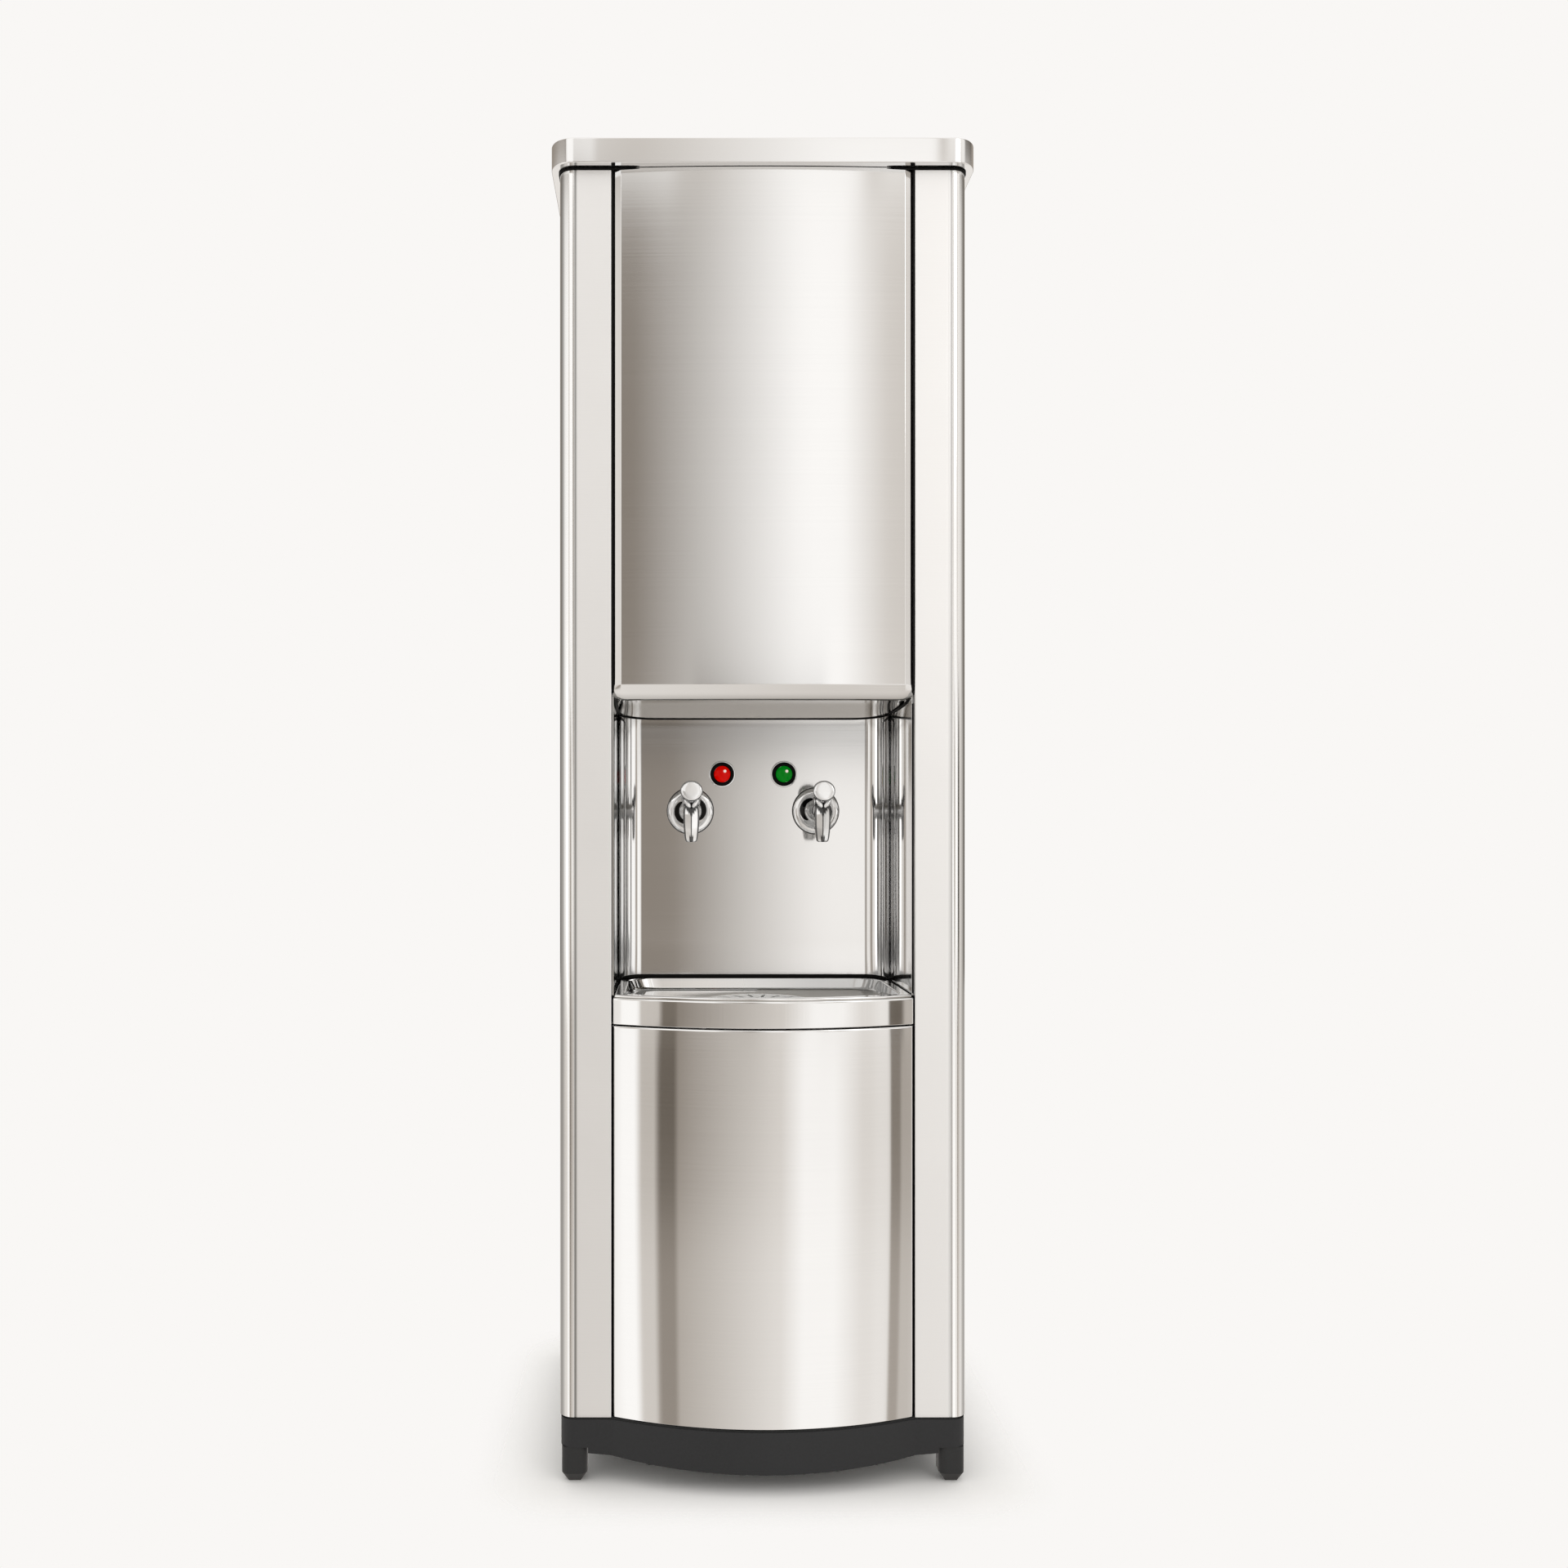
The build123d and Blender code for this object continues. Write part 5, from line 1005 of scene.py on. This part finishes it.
def tap_casting(side_name, sign):
    """Flange, neck, spout and hub of a tap."""
    tap_x = TAP_X * sign
    shades = []
    for radius, place in TAP_SECTION:
        for i in range(RING_POINTS):
            shades.append(flange_shade(radius, place, 2 * pi * i / RING_POINTS, sign))
    parts = [(*closed_rows(disc(TAP_SECTION, (tap_x, TAP_Z), RING_POINTS)), shades)]
    rows, shades = [], []
    for z, scale in SPOUT_LEVELS:
        rows.append([(tap_x + a * scale, SPOUT_Y + b * (0.35 + 0.65 * scale), z) for a, b in SPOUT_PLAN])
        shades.extend(spout_shade(a, b, z) for a, b in SPOUT_PLAN)
    parts.append((*closed_rows(rows), shades))
    hub = [(4.4, -6.4), (5.2, -6.0), (5.4, -5.4), (5.4, 5.4), (5.2, 6.0), (4.4, 6.4)]
    rows = disc(hub, (0, 0), HUB_POINTS)
    verts, faces = closed_rows([[(tap_x + b, HUB_Y + a, HUB_Z + c) for a, b, c in row] for row in rows])
    parts.append((verts, faces, facing(verts, faces)))
    verts, faces, shades = join(parts)
    casting = piece(f"tap_casting_{side_name}", verts, faces, "tap_chrome",
                    (f"tap_body_{side_name}",), sharp=38, shades=shades)
    mend_normals(casting, 38)


# Thumb pad as (radius, height over its middle) pairs, and its arm as (y, z, half width, half height)
PAD_SECTION = [
    (5.0, -3.4), (9.4, -3.0), (11.0, -1.6), (11.6, 0.0), (11.6, 1.4), (11.4, 2.1), (11.1, 2.6),
    (10.6, 3.0), (9.9, 3.3), (9.2, 3.42), (6.0, 3.5), (3.0, 3.52), (0.6, 3.53),
]
PAD_TILT = radians(12)
PAD_SQUASH = 0.93
ARM = [
    (-77.0, 676.5, 5.0, 4.0), (-73.0, 674.6, 5.4, 3.8), (-68.0, 673.0, 5.8, 3.6),
    (-62.0, 672.2, 6.4, 3.2), (-57.0, 672.0, 6.6, 2.6), (-53.5, 671.6, 6.2, 2.0),
]


def tap_paddle(side_name, sign):
    """Thumb pad, arm and lobes of a tap's lever."""
    tap_x = TAP_X * sign
    centre = Vector((tap_x, -79.0, 679.2))
    axis = Vector((0, -cos(PAD_TILT), sin(PAD_TILT)))
    up = Vector((0, sin(PAD_TILT), cos(PAD_TILT)))
    across = Vector((1, 0, 0))
    rows, shades = [], []
    for radius, rise in PAD_SECTION:
        row = []
        for i in range(PAD_POINTS):
            angle = 2 * pi * i / PAD_POINTS
            out = across * (radius * cos(angle)) + up * (PAD_SQUASH * radius * sin(angle))
            row.append(tuple(centre + axis * rise + out))
            # Painted dark reflection round the pad's rim, faint on its back
            shades.append(1.0 if -0.8 < rise < 2.3 else 0.1)
        rows.append(row)
    parts = [(*closed_rows(rows), shades)]
    rows = []
    circle = [2 * pi * i / ARM_POINTS for i in range(ARM_POINTS)]
    for y, z, wide, tall in ARM:
        rows.append([(tap_x + wide * cos(angle), y, z + tall * sin(angle)) for angle in circle])
    verts, faces = closed_rows(rows)
    # The arm is painted dark all over: a painted reflection
    parts.append((verts, faces, [0.8] * len(verts)))
    for lobe in (-1, 1):
        verts, faces = egg((tap_x + lobe * 4.4, -73.7, 666.6), (2.7, 2.6, 5.8), -lobe * 0.62)
        parts.append((verts, faces, facing(verts, faces, 0.3, 0.55)))
        verts, faces = egg((tap_x + lobe * 7.9, -58.0, 668.6), (1.6, 5.0, 5.0), 0.0)
        parts.append((verts, faces, facing(verts, faces, 0.3, 0.6)))
    verts, faces, shades = join(parts)
    lever = f"tap_lever_{side_name}"
    paddle = piece(f"tap_paddle_{side_name}", verts, faces, "tap_chrome", (lever,), 38, lever, shades=shades)
    mend_normals(paddle, 38)


def lamp_parts(side_name, sign):
    """Washer, bezel and lens of a pilot lamp, from (radius, y) pairs."""
    centre = (LAMP_X * sign, LAMP_Z)
    washer = [(12.8, 7.95), (14.5, 7.95), (14.6, 7.7), (14.3, 7.35), (13.8, 7.2), (12.8, 7.2)]
    rows = disc(washer, centre, LAMP_POINTS)
    verts, faces = grid(rows + rows[:1], wrap=True)
    mend_normals(piece(f"lamp_washer_{side_name}", verts, faces, "tap_chrome", sharp=50,
                       shades=[0.0] * len(verts)))
    bezel = [
        (9.2, 7.9), (13.0, 7.9), (13.1, 5.0), (12.8, 4.3), (12.2, 4.0), (10.0, 3.9), (9.4, 4.1), (9.1, 4.8),
    ]
    rows = disc(bezel, centre, LAMP_POINTS)
    verts, faces = grid(rows + rows[:1], wrap=True)
    mend_normals(piece(f"lamp_ring_{side_name}", verts, faces, "bezel_plastic",
                       (f"lamp_bezel_{side_name}",), sharp=50))
    dome = [
        (9.0, 7.8), (9.0, 4.2), (8.7, 3.5), (8.0, 2.9), (7.0, 2.45), (5.6, 2.05), (4.0, 1.8),
        (2.2, 1.65), (0.6, 1.6),
    ]
    verts, faces = closed_rows(disc(dome, centre, LAMP_POINTS))
    slot = "lens_red" if sign < 0 else "lens_green"
    mend_normals(piece(f"lamp_glass_{side_name}", verts, faces, slot,
                       (f"lamp_lens_{side_name}",), sharp=50))


for side_name, sign in SIDES:
    tap_casting(side_name, sign)
    tap_paddle(side_name, sign)
    lamp_parts(side_name, sign)

# Camera, solved from the photo's perspective
# In pixels of the photo: its size, the focal length and the point that the camera faces
PHOTO_SIZE = 1920.0
FOCAL_LENGTH = 1750.0
AIM_ACROSS = 822
AIM_DOWN = 1003
SENSOR = 36.0
EYE = (-0.090, -1.567, 0.650)

camera = bpy.data.cameras.new("camera")
camera.sensor_width = SENSOR
camera.lens = FOCAL_LENGTH / PHOTO_SIZE * SENSOR
camera.shift_x = (PHOTO_SIZE / 2 - AIM_ACROSS) / PHOTO_SIZE
camera.shift_y = (AIM_DOWN - PHOTO_SIZE / 2) / PHOTO_SIZE
camera.clip_end = 50
camera_object = add_object("camera", camera)
camera_object.location = EYE
camera_object.rotation_euler = (radians(90), 0, 0)
bpy.context.scene.camera = camera_object

# Studio
# Soft boxes and flags in rings round the object: (from, to, tone) in degrees from the front,
# right positive. Light blends evenly across the gaps between them. A tone is what brushed
# steel shows when it mirrors that panel. Places and tones started from readings off the
# photo, were rounded, and were then judged by comparing renders with the photo.
UPPER = [
    (-180, -140, 160), (-80, -48, 245), (-45, -39, 210), (-36, -14, 245), (-10, -7, 130), (7, 10, 250),
    (14, 17, 205), (21, 43, 245), (47, 52, 205), (56, 80, 230), (130, 180, 150),
]
TOP = [
    (-180, -54, 140), (-51, -47, 120), (-42, -12, 250), (-8, -4, 245), (-2.5, -1, 200), (6, 12, 245),
    (12.5, 13, 195), (14, 66, 240), (76, 115, 80), (130, 180, 150),
]
MIDDLE = [
    (-180, -150, 90), (-125, -95, 225), (-86, -69, 245), (-62, -50, 300), (-47, -36, 220),
    (-33, -26, 155), (-20, -8.5, 230), (-1.5, 0, 135), (6, 8.5, 240), (12, 19, 250), (24, 30, 165),
    (35, 51, 250), (57, 64, 55), (72, 110, 215), (135, 180, 110),
]
BAND = [
    (-180, -60, 215), (-50, -47.5, 230), (-47, -41, 250), (-40, -33, 195), (-32.5, -27.5, 115),
    (-26.5, -26, 135), (9, 10, 205), (21, 31, 245), (38, 41, 220), (45, 48, 230), (48.5, 53, 100),
    (54.5, 58, 180), (75, 180, 215),
]
NEAR = [
    (-180, -120, 215), (-62, -58, 205), (-46.5, -42, 250), (-39.5, -35, 185), (-33, -27.5, 100),
    (-26.5, -26, 145), (8, 9, 210), (17, 28, 245), (38, 41, 215), (44, 48, 220), (49, 52, 125),
    (53, 56, 165), (75, 180, 220),
]
FLOOR_BOUNCE = 0.3
FRONT_SHADE = 0.66
LOW = [(start, end, tone + (250 - tone) * FLOOR_BOUNCE) for start, end, tone in NEAR]
STEEL_SHARE = 0.8
DARK_TINT = (1.0, 0.76, 0.52)
PALE_TINT = (1.0, 0.985, 0.965)


def lit(tone):
    """Half the light that makes steel show a tone, warmer where it is darker."""
    value = linear(tone)
    share = min(1.0, sqrt(value))
    tints = [dark + (pale - dark) * share for dark, pale in zip(DARK_TINT, PALE_TINT)]
    return tuple(value / STEEL_SHARE / 2 * tint for tint in tints)


def edges(panels):
    """Stops of a ring of light: both edges of each panel."""
    return [(place, lit(tone)) for start, end, tone in panels for place in (start, end)]


world = bpy.data.worlds.new("studio")
bpy.context.scene.world = world
world.use_nodes = True
sky = Tree(world.node_tree)
direction = sky.add("SeparateXYZ")
sky.join(sky.add("TexCoord").outputs["Generated"], direction.inputs[0])
x, y, z = direction.outputs
azimuth = sky.times(sky.math("ARCTAN2", x, sky.times(y, -1.0)), 180 / pi)
upper, top, middle, band, near, low = (
    sky.around(azimuth, edges(panels)) for panels in (UPPER, TOP, MIDDLE, BAND, NEAR, LOW)
)


def height(start, end):
    """0 below the first elevation and 1 above the second, in degrees."""
    return sky.spread(z, sin(radians(start)), sin(radians(end)), 0.0, 1.0, True)


def across(start, end, to_start=0.0, to_end=1.0):
    """Soft step between two azimuths, in degrees."""
    return sky.spread(azimuth, start, end, to_start, to_end, True)


def background(colour, strength):
    node = sky.add("Background")
    sky.put(node.inputs["Color"], colour)
    node.inputs["Strength"].default_value = strength
    return node.outputs[0]


# The top of the middle ring is darker straight ahead
ahead = sky.times(across(-5.0, -2.5), across(9.5, 12.0, 1.0, 0.0))
shadow = sky.times(sky.times(height(1.8, 3.9), ahead), FRONT_SHADE)
middle = sky.mix(1.0, middle, sky.math("SUBTRACT", 1.0, shadow), "MULTIPLY")
# Each ring takes over from the one below it between two elevations
studio = low
for start, end, ring in ((-21.5, -11, near), (-8.36, -8.3, band), (-6.6, -6.1, middle)):
    studio = sky.mix(height(start, end), studio, ring)
# Beside that dark part the upper ring starts lower
beside = sky.math("MAXIMUM", across(-2.4, -1.6, 1.0, 0.0), across(8.3, 9.1))
near_front = sky.times(beside, sky.math("LESS_THAN", sky.math("ABSOLUTE", azimuth), 17.0))
early = sky.times(near_front, height(0.5, 2.0))
studio = sky.mix(sky.math("MAXIMUM", height(4.35, 4.7), early), studio, upper)
studio = sky.mix(height(23.9, 24.4), studio, top)
studio = sky.mix(height(40, 55), studio, (*lit(240), 1))
below = sky.mix(sky.spread(azimuth, -14, 26), (*lit(220), 1), (*lit(200), 1))
studio = sky.mix(height(-50, -35), below, studio)
# Mirrors see the studio, matt surfaces an even fill and the camera the page
rays = sky.add("LightPath").outputs
light = sky.blend(rays["Is Glossy Ray"], background((1.0, 0.99, 0.97, 1), 1.0), background(studio, 2.0))
light = sky.blend(rays["Is Camera Ray"], light, background(rgb(249, 247, 245), 1.0))
sky.join(light, sky.add("OutputWorld").inputs[0])

# Floor: a matt patch round the foot that fades into the page and that mirrors don't show
FLOOR_HALF = 4
PATCH_X = 0.19
PATCH_Y = 0.16
PATCH_FADE = 0.11
floor_mesh = bpy.data.meshes.new("floor")
floor_corners = [(x * FLOOR_HALF, y * FLOOR_HALF, 0) for x, y in ((-1, -1), (1, -1), (1, 1), (-1, 1))]
floor_mesh.from_pydata(floor_corners, [], [(0, 1, 2, 3)])
add_object("floor", floor_mesh)
paper = bpy.data.materials.new("floor_paper")
paper.use_nodes = True
tree = Tree(paper.node_tree)
matt = tree.add("BsdfDiffuse")
grain = tree.spread(tree.noise(tree.stretched((30, 30, 30)), 1.0, 3.0), 0.3, 0.7, 0.995, 1.005)
tree.join(tree.mix(1.0, rgb(252, 251, 249), grain, "MULTIPLY"), matt.inputs["Color"])
place = tree.add("SeparateXYZ")
tree.join(tree.add("TexCoord").outputs["Object"], place.inputs[0])
squares = []
for output, half in zip(place.outputs, (PATCH_X, PATCH_Y)):
    away = tree.math("MAXIMUM", tree.math("SUBTRACT", tree.math("ABSOLUTE", output), half), 0.0)
    squares.append(tree.math("POWER", away, 2.0))
fade = tree.spread(tree.math("SQRT", tree.math("ADD", *squares)), 0.0, PATCH_FADE, 0.0, 1.0, True)
unseen = tree.math("MAXIMUM", fade, tree.add("LightPath").outputs["Is Glossy Ray"])
clear = tree.add("BsdfTransparent")
tree.join(tree.blend(unseen, matt.outputs[0], clear.outputs[0]), tree.add("OutputMaterial").inputs[0])
floor_mesh.materials.append(paper)


# Light
def lamp(name, place, aim, size, power):
    light = bpy.data.lights.new(name, "AREA")
    light.shape = "RECTANGLE"
    light.size, light.size_y = size
    light.energy = power
    obj = add_object(name, light)
    obj.location = place
    obj.rotation_euler = (Vector(aim) - Vector(place)).to_track_quat("-Z", "Y").to_euler()


lamp("key", (1.3, -1.8, 1.9), (0, 0, 0.65), (0.7, 0.7), 3)
bpy.context.scene.view_settings.view_transform = "Standard"
